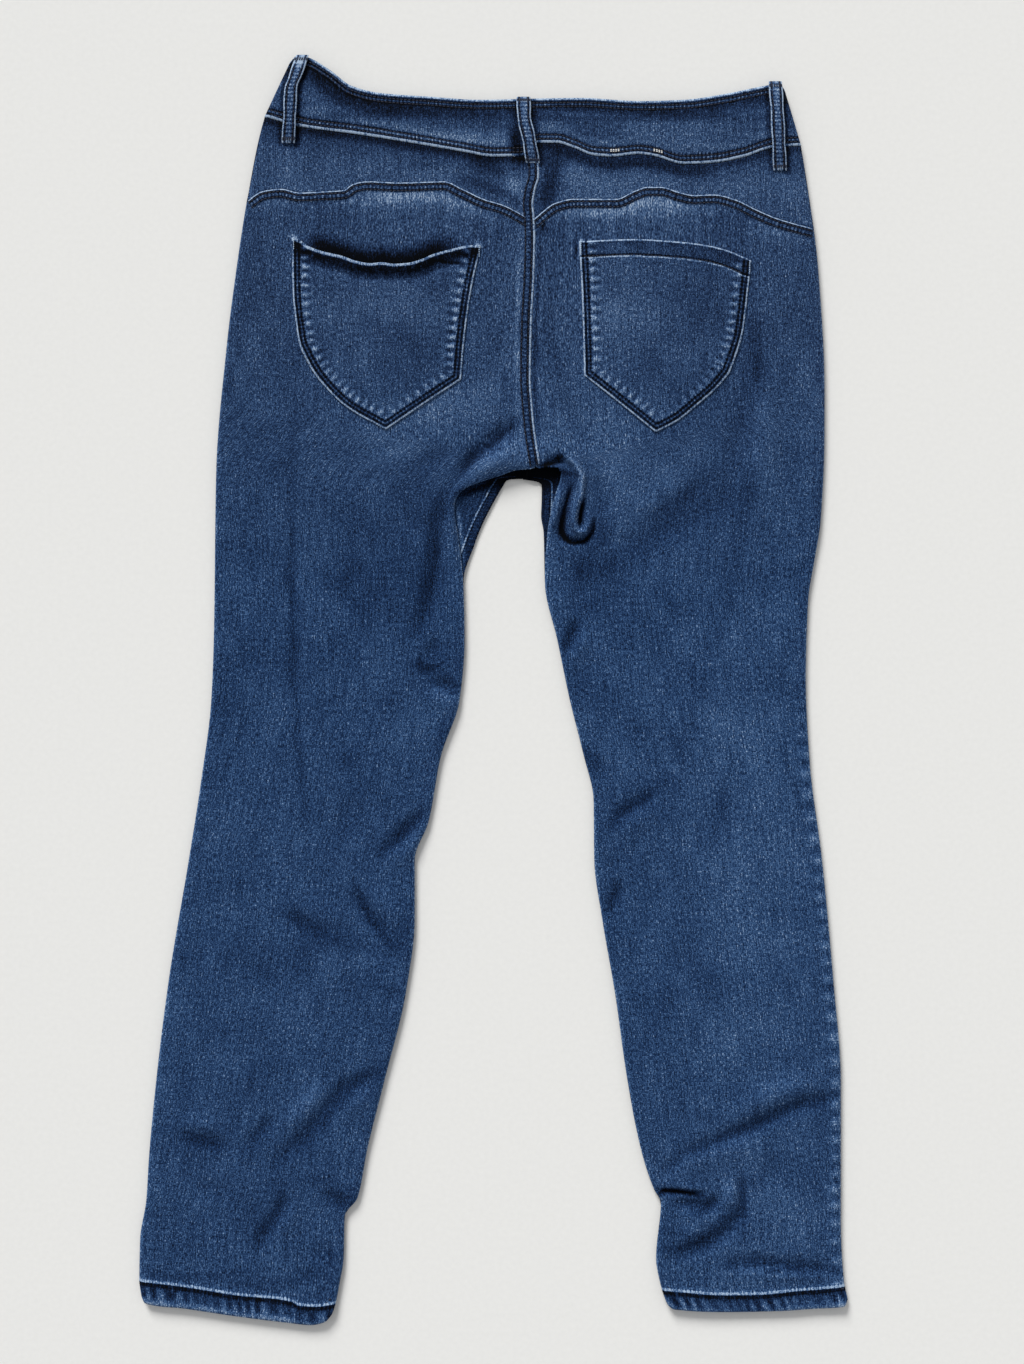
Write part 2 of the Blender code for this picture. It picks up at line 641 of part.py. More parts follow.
# ---- pockets -------------------------------------------------------------------------
def pocket(spec):
    top, left, right = Path(spec.top), Path(spec.left), Path(spec.right)
    low_left, low_right = Path(spec.low_left), Path(spec.low_right)

    def bottom(share):
        if share <= 0.5:
            return low_left(share * 2)
        return low_right(share * 2 - 1)

    def place(column, row):
        across, down = column / (POCKET_COLUMNS - 1), row / (POCKET_ROWS - 1)
        above, below = top(across), bottom(across)
        start, end = left(down), right(down)
        corners = (top(0), top(1), bottom(0), bottom(1))
        point = []
        for axis in (0, 1):
            rows_part = mix(above[axis], below[axis], down)
            columns_part = mix(start[axis], end[axis], across)
            corner_part = mix(mix(corners[0][axis], corners[1][axis], across),
                              mix(corners[2][axis], corners[3][axis], across), down)
            point.append(rows_part + columns_part - corner_part)
        x, y = point
        mouth = math.sin(math.pi * across) * (1 - ease(0, MOUTH_SHARE, down))
        z = back_top(x, y) + GAP + POCKET_WALL + spec.gape * mouth
        return x, y, z

    return sheet(spec.name, POCKET_COLUMNS, POCKET_ROWS, place, POCKET_WALL, DENIM_WORN)


# ---- belt loops ------------------------------------------------------------------------
def belt_loop(spec):
    line = Path(spec.line)

    def place(column, row):
        share = row / (LOOP_ROWS - 1)
        x, y = line(share)
        x += spec.half_width * (column - 1)
        carried_by = mix(SEAT_TOP, BAND_TOP, ease(*LOOP_DROP, y - waist_seam(x)))
        z = carried_by + GAP + LOOP_WALL + spec.slack * math.sin(math.pi * share)
        return x, y, z

    return sheet(spec.name, LOOP_COLUMNS, LOOP_ROWS, place, LOOP_WALL, DENIM_WORN)


def front_belt_loop(name, centre_x):
    """Lies on the surface, under the front waistband."""
    low = front_waist_seam(centre_x) + FRONT_LOOP_INSETS[0]
    high = front_waist_top(centre_x) + FRONT_LOOP_INSETS[1]

    def place(column, row):
        x = centre_x + FRONT_LOOP_HALF_WIDTH * (2 * column - 1)
        return x, mix(low, high, row / (FRONT_LOOP_ROWS - 1)), 0.0

    return sheet(name, 2, FRONT_LOOP_ROWS, place, FRONT_BAND - GAP, DENIM_WORN, False)


# ---- fly ----------------------------------------------------------------------------
def zip_strip():
    """Tape and chain, on the inside of the middle front."""
    across = (-ZIP_HALF_WIDTH, -ZIP_CHAIN_HALF_WIDTH - 0.5, -ZIP_CHAIN_HALF_WIDTH,
              ZIP_CHAIN_HALF_WIDTH, ZIP_CHAIN_HALF_WIDTH + 0.5, ZIP_HALF_WIDTH)
    rows = 2

    def place(column, row):
        raised = ZIP_RAISE if abs(across[column]) <= ZIP_CHAIN_HALF_WIDTH else 0.0
        y = FLY_TOP_Y - FLY_LENGTH * row / (rows - 1)
        return CENTRE_FRONT_X + across[column], y, WALL + GAP + ZIP_WALL + raised

    return sheet("zip", len(across), rows, place, ZIP_WALL, TAPE)


def fly_placket():
    """Covers the zip from the inside. Its lower corner is rounded."""
    top = WALL + GAP + ZIP_WALL + ZIP_RAISE + GAP + PLACKET_WALL
    start_x = CENTRE_FRONT_X - ZIP_HALF_WIDTH - 1

    def place(column, row):
        across, down = column / (PLACKET_COLUMNS - 1), row / (PLACKET_ROWS - 1)
        corner = max(0.0, 2 * across - 1)
        shortened = PLACKET_CURVE * (1 - math.sqrt(1 - corner ** 2))
        y = FLY_TOP_Y - (FLY_LENGTH + PLACKET_LONGER) * down * (1 - shortened)
        return start_x + PLACKET_WIDTH * across, y, top

    return sheet("fly_placket", PLACKET_COLUMNS, PLACKET_ROWS, place, PLACKET_WALL, DENIM_DARK)


def waist_button():
    """A turned disc, lying on the surface under the front waistband."""
    rim, edge = BUTTON_EDGE
    corners = ((0.0, BUTTON_HEIGHT), (BUTTON_RADIUS - rim, BUTTON_HEIGHT),
               (BUTTON_RADIUS, BUTTON_HEIGHT - edge), (BUTTON_RADIUS, edge),
               (BUTTON_RADIUS - rim, 0.0), (0.0, 0.0))
    profile = bmesh.new()
    points = [profile.verts.new((radius * MM, 0.0, z * MM)) for radius, z in corners]
    for one, two in zip(points, points[1:]):
        profile.edges.new((one, two))
    mesh = bpy.data.meshes.new("waist_button")
    profile.to_mesh(mesh)
    profile.free()
    made = bpy.data.objects.new("waist_button", mesh)
    bpy.data.collections[COLLECTION].objects.link(made)
    turn = made.modifiers.new("turned", "SCREW")
    turn.steps = turn.render_steps = BUTTON_STEPS
    turn.use_merge_vertices = True
    turn.merge_threshold = 0.00005
    made.location = (CENTRE_FRONT_X * MM, BUTTON_Y * MM, 0.0)
    mesh.materials.append(material("waist_button", BRASS, 0.35, 1.0))


def main():
    clear_scene()
    back_leg("back_leg_left", LEFT_SECTIONS, side_left, YOKE_SEAM_LEFT, HEM_LEFT, 1)
    back_leg("back_leg_right", RIGHT_SECTIONS, side_right, YOKE_SEAM_RIGHT, HEM_RIGHT, -1)
    front_leg("front_leg_left", LEFT_SECTIONS, side_left, HEM_LEFT, 1)
    front_leg("front_leg_right", RIGHT_SECTIONS, side_right, HEM_RIGHT, -1)
    yokes_and_waistband()
    waistband_fronts()
    for spec in POCKETS:
        pocket(spec)
    for spec in LOOPS:
        belt_loop(spec)
    for name, centre_x in FRONT_LOOPS:
        front_belt_loop(name, centre_x)
    zip_strip()
    fly_placket()
    waist_button()


if __name__ == "__main__":
    main()
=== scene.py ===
"""The finish of a pair of skinny jeans that lies flat with its back up.

Tables are in millimetres and become metres when a mesh is made. X runs across
the hips, Y from the hems up to the waist, Z up from the surface. Left and right
are the wearer's, and the viewer's too.
"""

import math
from collections import namedtuple

import bmesh
import bpy
import numpy as np
from bpy.props import FloatProperty, PointerProperty, StringProperty
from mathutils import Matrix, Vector, noise


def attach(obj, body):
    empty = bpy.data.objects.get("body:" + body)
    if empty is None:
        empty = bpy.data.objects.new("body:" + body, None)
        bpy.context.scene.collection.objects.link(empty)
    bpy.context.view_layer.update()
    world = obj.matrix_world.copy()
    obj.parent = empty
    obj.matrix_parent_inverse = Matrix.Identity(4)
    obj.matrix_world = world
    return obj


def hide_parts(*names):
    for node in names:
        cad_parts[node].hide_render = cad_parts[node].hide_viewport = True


bl_info = {
    "name": "Skinny jeans, laid flat",
    "version": (1, 0, 0),
    "blender": (4, 5, 0),
    "location": "View3D > Sidebar > Jeans",
    "description": "Builds the cloth, seams and stitching of a pair of stretch-denim jeans",
    "category": "Object",
}

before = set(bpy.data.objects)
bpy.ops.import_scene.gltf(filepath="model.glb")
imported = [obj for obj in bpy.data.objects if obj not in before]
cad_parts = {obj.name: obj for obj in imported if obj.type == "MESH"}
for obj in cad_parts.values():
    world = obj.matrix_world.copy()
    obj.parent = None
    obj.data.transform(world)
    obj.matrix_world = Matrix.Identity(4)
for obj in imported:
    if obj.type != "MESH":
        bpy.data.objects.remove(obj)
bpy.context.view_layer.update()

MM = 0.001
QUICK = 1.0

# ---- cloth and heights, as in the solids -----------------------------------------------
WALL = 1.4                  # one layer of denim
BAND_WALL = 2.0             # the doubled waistband at the back
FRONT_BAND_WALL = 1.1       # and its front ends, which the garment's weight presses
LOOP_WALL = 1.6
POCKET_WALL = 1.2
GAP = 0.3                   # between pieces that lie on or beside each other
SLOPING_HALF_GAP = 0.3      # half of the gap up and down where two pieces meet at a slope
LEG_TOP = 5.6               # height of the legs' upper face
SEAT_TOP = 6.4              # and of the seat's, which the thighs rise up to
SEAT_FROM, SEAT_TO = 90.0, 190.0
SEAM_BACK = 3.15            # the same at a side seam or an inseam
LOWEST_TOP = 2 * WALL + GAP + 0.1       # no crease presses the back down below this
BAND_TOP = 7.2              # height of the back waistband's upper face
BAND_SEAM = 4.6             # and of its ends, which the side seams rise up to
SEAM_RISE_FROM, SEAM_RISE_TO = 400.0, 455.0
FRONT_BAND_UNDER = 1.8      # height of the front waistband's lower face
ROLL = 6.0                  # how far in an edge has rolled up to the full height
ROLL_STEPS = 7
LIP = 0.2                   # share of that height which stands straight up
EDGE_CALM = 16.0            # troughs and unevenness fade out this close to an edge
FAR = 1000.0                # distance from an edge where there is none

# ---- seams and edges, as (place, value) rows -------------------------------------------
SIDE_LEFT = (
    (503, -162), (459, -183), (400, -196), (336, -206), (272, -214), (176, -222),
    (40, -224), (-8, -226), (-72, -234), (-136, -244), (-232, -260), (-312, -270),
    (-376, -276), (-408, -278), (-440, -283), (-472, -283.6), (-485, -282),
)
SIDE_RIGHT = (
    (484, 233), (450, 243), (400, 252), (336, 260), (240, 265), (208, 265),
    (136, 262), (104, 257), (72, 252), (8, 250), (-56, 253), (-136, 263),
    (-232, 272), (-312, 278), (-424, 278), (-472, 280.4), (-487.5, 283.6),
)
CENTRE_BACK = ((450, 30), (375, 31), (300, 29), (226, 30), (178, 33.5))
CENTRE_FRONT_X = 24.0
WAIST_LEFT_Y, WAIST_RIGHT_Y, WAIST_MIDDLE_Y = 458.0, 435.0, 437.0
YOKE_LEFT_Y, YOKE_RIGHT_Y, YOKE_MIDDLE_Y = 390.0, 368.0, 375.0
WAIST_TOP = (
    (-163, 502), (-155.6, 508), (-147, 505.5), (-131, 496), (-113, 483), (-91, 477.5),
    (-51, 474.5), (-11, 472), (35, 473), (69, 473.5), (117, 471), (152, 472),
    (184, 476.5), (216, 483), (228, 485), (233, 480),
)
WAIST_SEAM = (
    (-183, 458), (-154, 450), (-110, 444), (-60, 436), (-25, 430), (0, 426),
    (22, 426.5), (36, 437), (50, 437), (64, 433), (80, 427), (95, 426), (116, 428),
    (130, 426), (152, 420), (175, 421), (201, 426), (223, 433), (247, 435),
)
YOKE_SEAM_LEFT = (
    (-197.5, 390), (-185, 398), (-170, 400), (-155, 397), (-135, 398), (-120, 399),
    (-112, 404), (-100, 406), (-76, 405), (-39, 406), (-25, 400), (-8, 392),
    (8, 387), (31, 375),
)
YOKE_SEAM_RIGHT = (
    (31, 375), (50, 389), (64, 392), (98, 392), (112, 398), (123, 401.5),
    (134, 401.5), (148, 397.5), (160, 395), (176, 395.5), (192, 392), (211, 383),
    (228, 376), (256.4, 368),
)
FRONT_WAIST_TOP = ((-163, 500), (-90, 470), (24, 452), (150, 461), (233, 479))
FRONT_WAIST_SEAM = (
    (-183, 458), (-150, 449), (-60, 422), (24, 412), (120, 414), (200, 425), (247, 435),
)
HEM_LEFT = (
    (-282, -485), (-279, -490.5), (-246, -495), (-206, -501), (-166, -506),
    (-146, -508), (-136, -506), (-129, -499), (-126, -490),
)
HEM_RIGHT = (
    (135, -481), (139.6, -492), (145, -495.6), (185, -497.6), (228, -496.8),
    (256, -495), (281, -493), (283.6, -487.5),
)

# ---- leg sections, from the yoke seam down to the hem ----------------------------------
# Each runs from the side seam in to the back's inner edge, and to the front's below it.
# edge_z is how high the back's inner edge lies, and roll how much it is rolled over.
# At the crotch the fronts' inner edges reach about 10 mm lower than their solids, so that their
# painted-dark faces stand in for the shadow on the surface under the seat.
Section = namedtuple("Section", "outer_y inner_x inner_y front_x front_y edge_z roll")


def joined(*rows):
    """Sections below the crotch, where the front's inner edge lies straight under the back's."""
    return [Section(*row, *row[1:], SEAM_BACK, 1.0) for row in rows]


LEFT_SECTIONS = (
    Section(390, 31, 375, 24, 352, 6.4, 0.0),
    Section(332, 29, 300, 24, 288, 6.4, 0.0),
    Section(272, 30, 226, 24, 230, 6.4, 0.0),
    Section(242, 32, 196, 24, 203, 6.4, 0.0),
    Section(230, 33.3, 178, 28.6, 169.4, 8.0, 0.6),
    Section(216, 16, 175, 16, 169, 7.8, 1.0),
    Section(206, 5, 171, 11, 168, 7.2, 1.0),
    Section(197, -8, 167, 8, 164, 6.2, 1.0),
    Section(188, -20, 162.5, 5, 159, 5.2, 1.0),
    Section(179, -28, 156, 1, 152, 3.6, 1.0),
    Section(170, -31, 148, -3, 144.5, 3.3, 1.0),
    Section(158, -30.5, 138, -8, 134.5, SEAM_BACK, 1.0),
    Section(136, -28, 122, -15, 117, SEAM_BACK, 1.0),
    *joined((88, -24, 85), (40, -23, 40), (-8, -27, -8), (-52, -42, -53), (-104, -52, -106),
            (-136, -63, -136), (-184, -63, -184), (-240, -70, -242), (-312, -87, -312),
            (-368, -101, -368), (-404, -109, -407), (-422, -119, -421), (-456, -120, -456),
            (-470, -123, -474), (-485, -126, -490)),
)
RIGHT_SECTIONS = (
    Section(368, 31, 375, 24, 352, 6.4, 0.0),
    Section(322, 29, 300, 24, 288, 6.4, 0.0),
    Section(268, 30, 226, 24, 230, 6.4, 0.0),
    Section(242, 32, 196, 24, 203, 6.4, 0.0),
    Section(228, 33.7, 178, 21.4, 169.4, 8.0, 0.6),
    Section(220, 44, 179.2, 30, 167.8, 8.0, 1.0),
    Section(212, 52, 179, 36, 166.4, 7.6, 1.0),
    Section(204, 54, 174.6, 38.4, 164, 6.4, 1.0),
    Section(194, 53.4, 169, 38.5, 160, 5.2, 1.0),
    Section(181, 51, 162, 38.4, 152, 3.8, 1.0),
    Section(163, 47, 148, 38, 140, SEAM_BACK, 1.0),
    Section(134, 43, 126, 40, 126, SEAM_BACK, 1.0),
    *joined((88, 41, 86), (40, 51, 40), (-8, 61, -8), (-52, 72, -52), (-88, 80, -88),
            (-136, 80.5, -136), (-184, 87, -184), (-240, 97, -242), (-312, 107, -312),
            (-368, 118, -368), (-400, 129, -401), (-410, 134, -410), (-456, 130, -456),
            (-470, 132.5, -471), (-487.5, 135, -481)),
)
CROTCH_SECTION = 4          # place in the tables where the inner edge leaves the seat seam
APART = (100.0, 218.0)      # stretch of the legs where the fronts lie clear of the backs
APART_EDGE_Z = 1.7          # how high the fronts' inner edges curl there
CROTCH_LAP = {1: 3.5, -1: 1.9}          # and at the crotch, where the left one laps over
HEM_SEAM_LEFT = (
    (-284, -471.4), (-246, -476), (-206, -482.4), (-160, -488), (-157, -490.4),
    (-142, -491.6), (-124, -489),
)
HEM_SEAM_RIGHT = (
    (130, -478), (149, -480), (185, -482.4), (214, -482), (242, -479.2), (264, -477.6),
    (284, -475.4),
)
HEM_DEPTH = 16.5            # pattern's depth of the hem, which the seam lines above stand for
HEM_STEP = 2.0              # width of the step up to the hem's doubled cloth
HEM_RAISE = 0.7             # and its height
HEM_REACH = 60.0            # height above the hem where its pattern ends
HEM_FADE = 70.0             # the slant of the hem has evened out this far up
YOKE_FADE = 70.0            # and that of the yoke seam this far down
# Columns crowd towards the inner edge, where its last fifth has a share of 1 - crowding.
# Rows stand closer where the small deep folds are and along the last bit above the hem.
LegMesh = namedtuple("LegMesh", "columns crowding pitch fine_pitch fine_spans hem_pitch hem_length")
BACK_MESH = LegMesh(102, 0.6, 3.3, 1.1, ((116, 228), (-412, -394)), 1.3, 28)
FRONT_MESH = LegMesh(46, 0.5, 7.0, 2.4, ((84, 220),), 2.0, 24)
# Rows and columns of the other cloth pieces
YOKE_MESH = (34, 96)
BACK_BAND_MESH = (52, 260)
FRONT_BAND_MESH = (26, 90)
POCKET_MESH = 132
LOOP_MESH = (84, 21)
FRONT_LOOP_MESH = (30, 15)

# ---- what each piece is cut as ---------------------------------------------------------
Cut = namedtuple("Cut", "slot wall width length")
BACK_LEG = Cut("denim_leg", WALL, 250, 905)
FRONT_LEG = Cut("denim_leg", WALL, 250, 965)
YOKE = Cut("denim_yoke", WALL, 232, 84)
BACK_BAND = Cut("denim_waistband", BAND_WALL, 432, 62)
FRONT_BAND = Cut("denim_waistband", FRONT_BAND_WALL, 242, 66)
PATCH_POCKET = Cut("denim_pocket", POCKET_WALL, 152, 156)
POCKET_TOP = SEAT_TOP + GAP + POCKET_WALL       # height of a flat pocket's face

# ---- creases: ridges are high, troughs are low -----------------------------------------
CREASES = (                 # (path, width, height) rows
    # left crotch: the seat's edge turned under, with a facet above it
    (((15, 213), (0, 199), (-16, 186), (-27, 172)), 6, -2.8),
    (((24, 198), (4, 185), (-16, 173)), 8, 2.3),
    (((-24, 164), (-33, 150), (-35, 130), (-30, 104)), 5, 1.3),
    (((-36, 160), (-44, 134), (-46, 98), (-54, 62), (-65, 34)), 8, -1.8),
    (((-14, 172), (8, 178), (34, 186), (52, 187)), 9, 2.3),
    # left thigh
    (((-46, 40), (-53, 24)), 6, -1.6),
    (((-57, 52), (-62, 28)), 9, 0.8),
    (((-50, 7), (-24, -2)), 4.5, -2.2),
    (((-52, -6), (-30, -14)), 6, 1.1),
    (((-62, 18), (-44, 14)), 5, -0.9),
    (((-160, 145), (-160, 20), (-156, -14)), 4.5, -0.9),
    (((-62, 178), (-70, 150), (-72, 110)), 15, -0.9),
    (((-120, 150), (-112, 60)), 18, -0.5),
    # left knee and calf
    (((-46, -94), (-64, -106), (-90, -132)), 5.5, -2.0),
    (((-56, -118), (-78, -138)), 7, 1.1),
    (((-104, -88), (-128, -118)), 12, -0.8),
    (((-114, -161), (-86, -197)), 6, -1.9),
    (((-100, -160), (-74, -186)), 8, 1.0),
    (((-166, -180), (-136, -194)), 6, -1.4),
    (((-150, -170), (-122, -186)), 7, 0.8),
    (((-84, -242), (-70, -248)), 6, -1.0),
    (((-190, -216), (-172, -240)), 9, -0.7),
    (((-87, -305), (-120, -318), (-149, -356), (-177, -380)), 6, -1.8),
    (((-134, -318), (-168, -352)), 7, 1.3),
    (((-98, -322), (-118, -340)), 6, 0.9),
    (((-250, -357), (-214, -364)), 5, -1.7),
    (((-176, -341), (-199, -367)), 5, -1.4),
    (((-246, -344), (-222, -350)), 6, 0.8),
    # left ankle
    (((-166, -405), (-176, -424), (-192, -448)), 6, -1.5),
    (((-158, -414), (-170, -436)), 6, 1.1),
    (((-138, -402), (-112, -416)), 6, -1.5),
    (((-238, -398), (-206, -402)), 8, -0.9),
    (((-150, -452), (-124, -450)), 6, -1.0),
    (((-160, -466), (-140, -468)), 5, -0.8),
    # right crotch: a finger of cloth folded on itself, with its end curled round
    (((53, 160), (50.4, 144), (46, 128)), 4.2, 2.4),
    (((62.4, 163), (59, 152), (55.8, 140), (54.6, 128), (57.6, 121.8)), 2.3, -3.4),
    (((58, 187), (66, 180), (70.8, 169.6), (70, 156), (66, 145.6), (64, 134.4), (66.8, 126),
      (73.2, 126), (76.4, 132.8), (75.6, 139)), 2.9, 4.2),
    (((71.6, 152), (69.6, 142.4), (68.8, 132)), 1.7, -3.4),
    (((52, 130), (56, 121.6), (63.6, 118.2), (72.4, 119.6), (79, 126), (80.6, 135.2)), 2.3, -3.0),
    (((40, 182), (50, 183), (58, 180)), 3.0, -2.6),
    (((48, 170), (49, 146), (44, 124)), 3.0, 0.9),
    (((84, 172), (90, 140)), 8, -1.3),
    (((98, 180), (102, 120)), 14, 0.9),
    # right thigh
    (((190, 157), (150, 136), (104, 112)), 11, -1.2),
    (((150, 158), (112, 138)), 13, 0.9),
    (((66, 110), (74, 70)), 8, -1.0),
    (((54, 28), (68, 56)), 5, -1.9),
    (((60, 20), (76, 44)), 6, 1.0),
    (((50, 66), (60, 78)), 6, 0.8),
    (((258, 106), (244, 92)), 7, -1.0),
    (((207, 288), (200, 240), (197, 176)), 12, -0.7),
    (((218, 256), (221, 176)), 9, 0.8),
    # right knee and shin
    (((95, -104), (127, -83)), 6, -1.6),
    (((100, -116), (134, -96)), 8, 0.8),
    (((80, -56), (88, -70)), 6, -1.2),
    (((88, -186), (102, -154)), 6, -1.7),
    (((84, -136), (98, -142)), 5, -0.8),
    (((188, -80), (176, -120)), 16, -0.6),
    # right calf and ankle
    (((279, -325), (247, -331), (226, -340), (205, -350), (187, -357), (153, -371)), 5, -2.3),
    (((262, -312), (222, -324), (190, -340)), 9, 1.7),
    (((214, -364), (178, -372), (148, -384)), 8, 0.8),
    (((150, -376), (134, -386)), 5, -1.2),
    (((128, -401.0), (146, -401.0), (168, -403.2)), 2.4, -3.8),
    (((136, -399), (166, -402)), 4.5, 1.5),
    (((146, -410), (170, -413), (182, -407)), 5, -1.8),
    (((150, -420), (172, -420)), 5, 0.9),
    (((197, -392), (199, -404), (200, -424)), 3.4, -2.0),
    (((191, -396), (188, -414)), 6, 1.4),
    (((198, -418), (187, -434), (166, -445), (146, -451)), 5, -2.5),
    (((178, -420), (150, -438)), 6, 1.1),
    (((184, -459), (210, -457), (246, -461), (274, -463)), 4, -1.9),
    (((190, -468), (262, -470)), 4, 0.7),
    (((212, -384), (232, -390)), 12, -0.9),
    (((201, 248), (200, 216), (188, 168), (177, 132)), 10, -0.8),
    (((173, 168), (157, 156), (121, 136)), 8, -1.2),
    (((213, 236), (214, 150)), 16, 1.0),
    # seat
    (((-8, 424), (12, 402)), 6, -0.8),
    (((-178, 443), (-150, 436)), 6, -0.8),
    (((-60, 428), (-20, 418)), 6, 0.5),
    (((46, 428), (62, 418)), 7, -0.8),
    (((42, 226), (60, 186)), 6, 1.0),
    (((52, 238), (78, 190)), 7, -1.1),
    (((-62, 180), (-30, 194)), 9, -0.9),
)
CREASE_DEPTH = 1.35         # all of them deepened alike
CREASE_TAPER = 0.75         # how much of a crease's height is gone at its ends
EDGE_SHARE = 0.35           # how much of a trough's depth is left at an edge
CREASE_PALE, CREASE_DARK = 0.014, 0.045     # paler ridge, partly rubbed and partly painted light, and painted shade in a trough, per mm
PUCKER_PALE = 0.20          # how much paler the streaks below the yoke seams are
EDGE_PALE = 0.16            # how much paler an outer edge is drawn: rubbed wear and a painted highlight rim
EDGE_PALE_WIDTH = 1.1
FRONT_SHADE = 0.12           # painted shade on the fronts, which lie under the backs
CROTCH_SHADOW = 0.62          # and near-black painted shadow under the seat at the crotch
RUMPLE = 0.22               # height of the shallow unevenness all over the legs
RUMPLE_SIZE = (26.0, 60.0)  # across and along the leg
RUMPLE_FROM, RUMPLE_TO = 40, 120        # how far below the yoke seam it starts and is full
SIDE_PUCKER_HEIGHT, SIDE_PUCKER_PALE = 0.5, 0.16        # ripples beside the side seams
ROPING_HEIGHT, ROPING_PALE = 0.3, 0.22                  # slanting ridges in the hems
HEM_EDGE_DROP, HEM_EDGE_WIDTH = 0.9, 1.6                # the hem's lowest edge turns down
YOKE_PUCKERS = ((-72, 52, 0.65), (112, 34, 0.45), (222, 22, 0.3))   # (x, width, amount) rows
YOKE_PUCKER_LEAST = 0.35    # their amount elsewhere
YOKE_PUCKER_PITCH, SIDE_PUCKER_PITCH, ROPING_PITCH = 6.4, 15.0, 9.5     # from ripple to ripple

# ---- wear, painted light and shade: how much paler (+) or darker (-) the cloth is, in places and along lines ----
# The pale rows are rubbed wear, with painted highlights on the rims of folds; the dark rows are
# painted shade in troughs and grooves, under raised edges, beside the belt loops and in the crotch.
WEAR_AND_SHADE = (                    # (x, y, width, length, amount) rows
    # seat and yokes
    (-76, 394, 56, 9, 0.12),
    (-176, 392, 16, 8, 0.08),
    (112, 386, 46, 10, 0.14),
    (224, 366, 20, 8, 0.09),
    (8, 192, 20, 10, 0.05),
    (40, 205, 14, 26, 0.05),
    (-66, 306, 34, 22, 0.07),
    (92, 292, 38, 48, 0.045),
    (-52, 214, 56, 32, 0.045),
    (130, 176, 40, 24, 0.04),
    (50, 330, 20, 60, 0.03),
    (126, 410, 110, 16, 0.08),
    (-70, 192, 16, 10, 0.07),
    # legs
    (-200, 230, 26, 240, -0.02),
    (-90, 92, 30, 40, -0.05),
    (-143, -8, 12, 16, -0.05),
    (-209, -8, 14, 14, -0.04),
    (-119, -56, 16, 7, -0.05),
    (-78, -204, 9, 16, -0.09),
    (-103, -220, 16, 8, 0.04),
    (-143, -332, 12, 12, 0.06),
    (-194, -430, 12, 14, -0.05),
    (77, -54, 10, 12, -0.09),
    (86, 98, 26, 14, -0.07),
    (241, -322, 14, 7, -0.07),
    (142, -440, 10, 14, -0.07),
    (215, -430, 70, 60, 0.05),
    (188, -398, 7, 8, 0.08),
    # crotch: painted shadow under the seat's folded edge
    (44, 175, 8, 4, -0.45),
    (60, 168, 9, 6, -0.14),
)
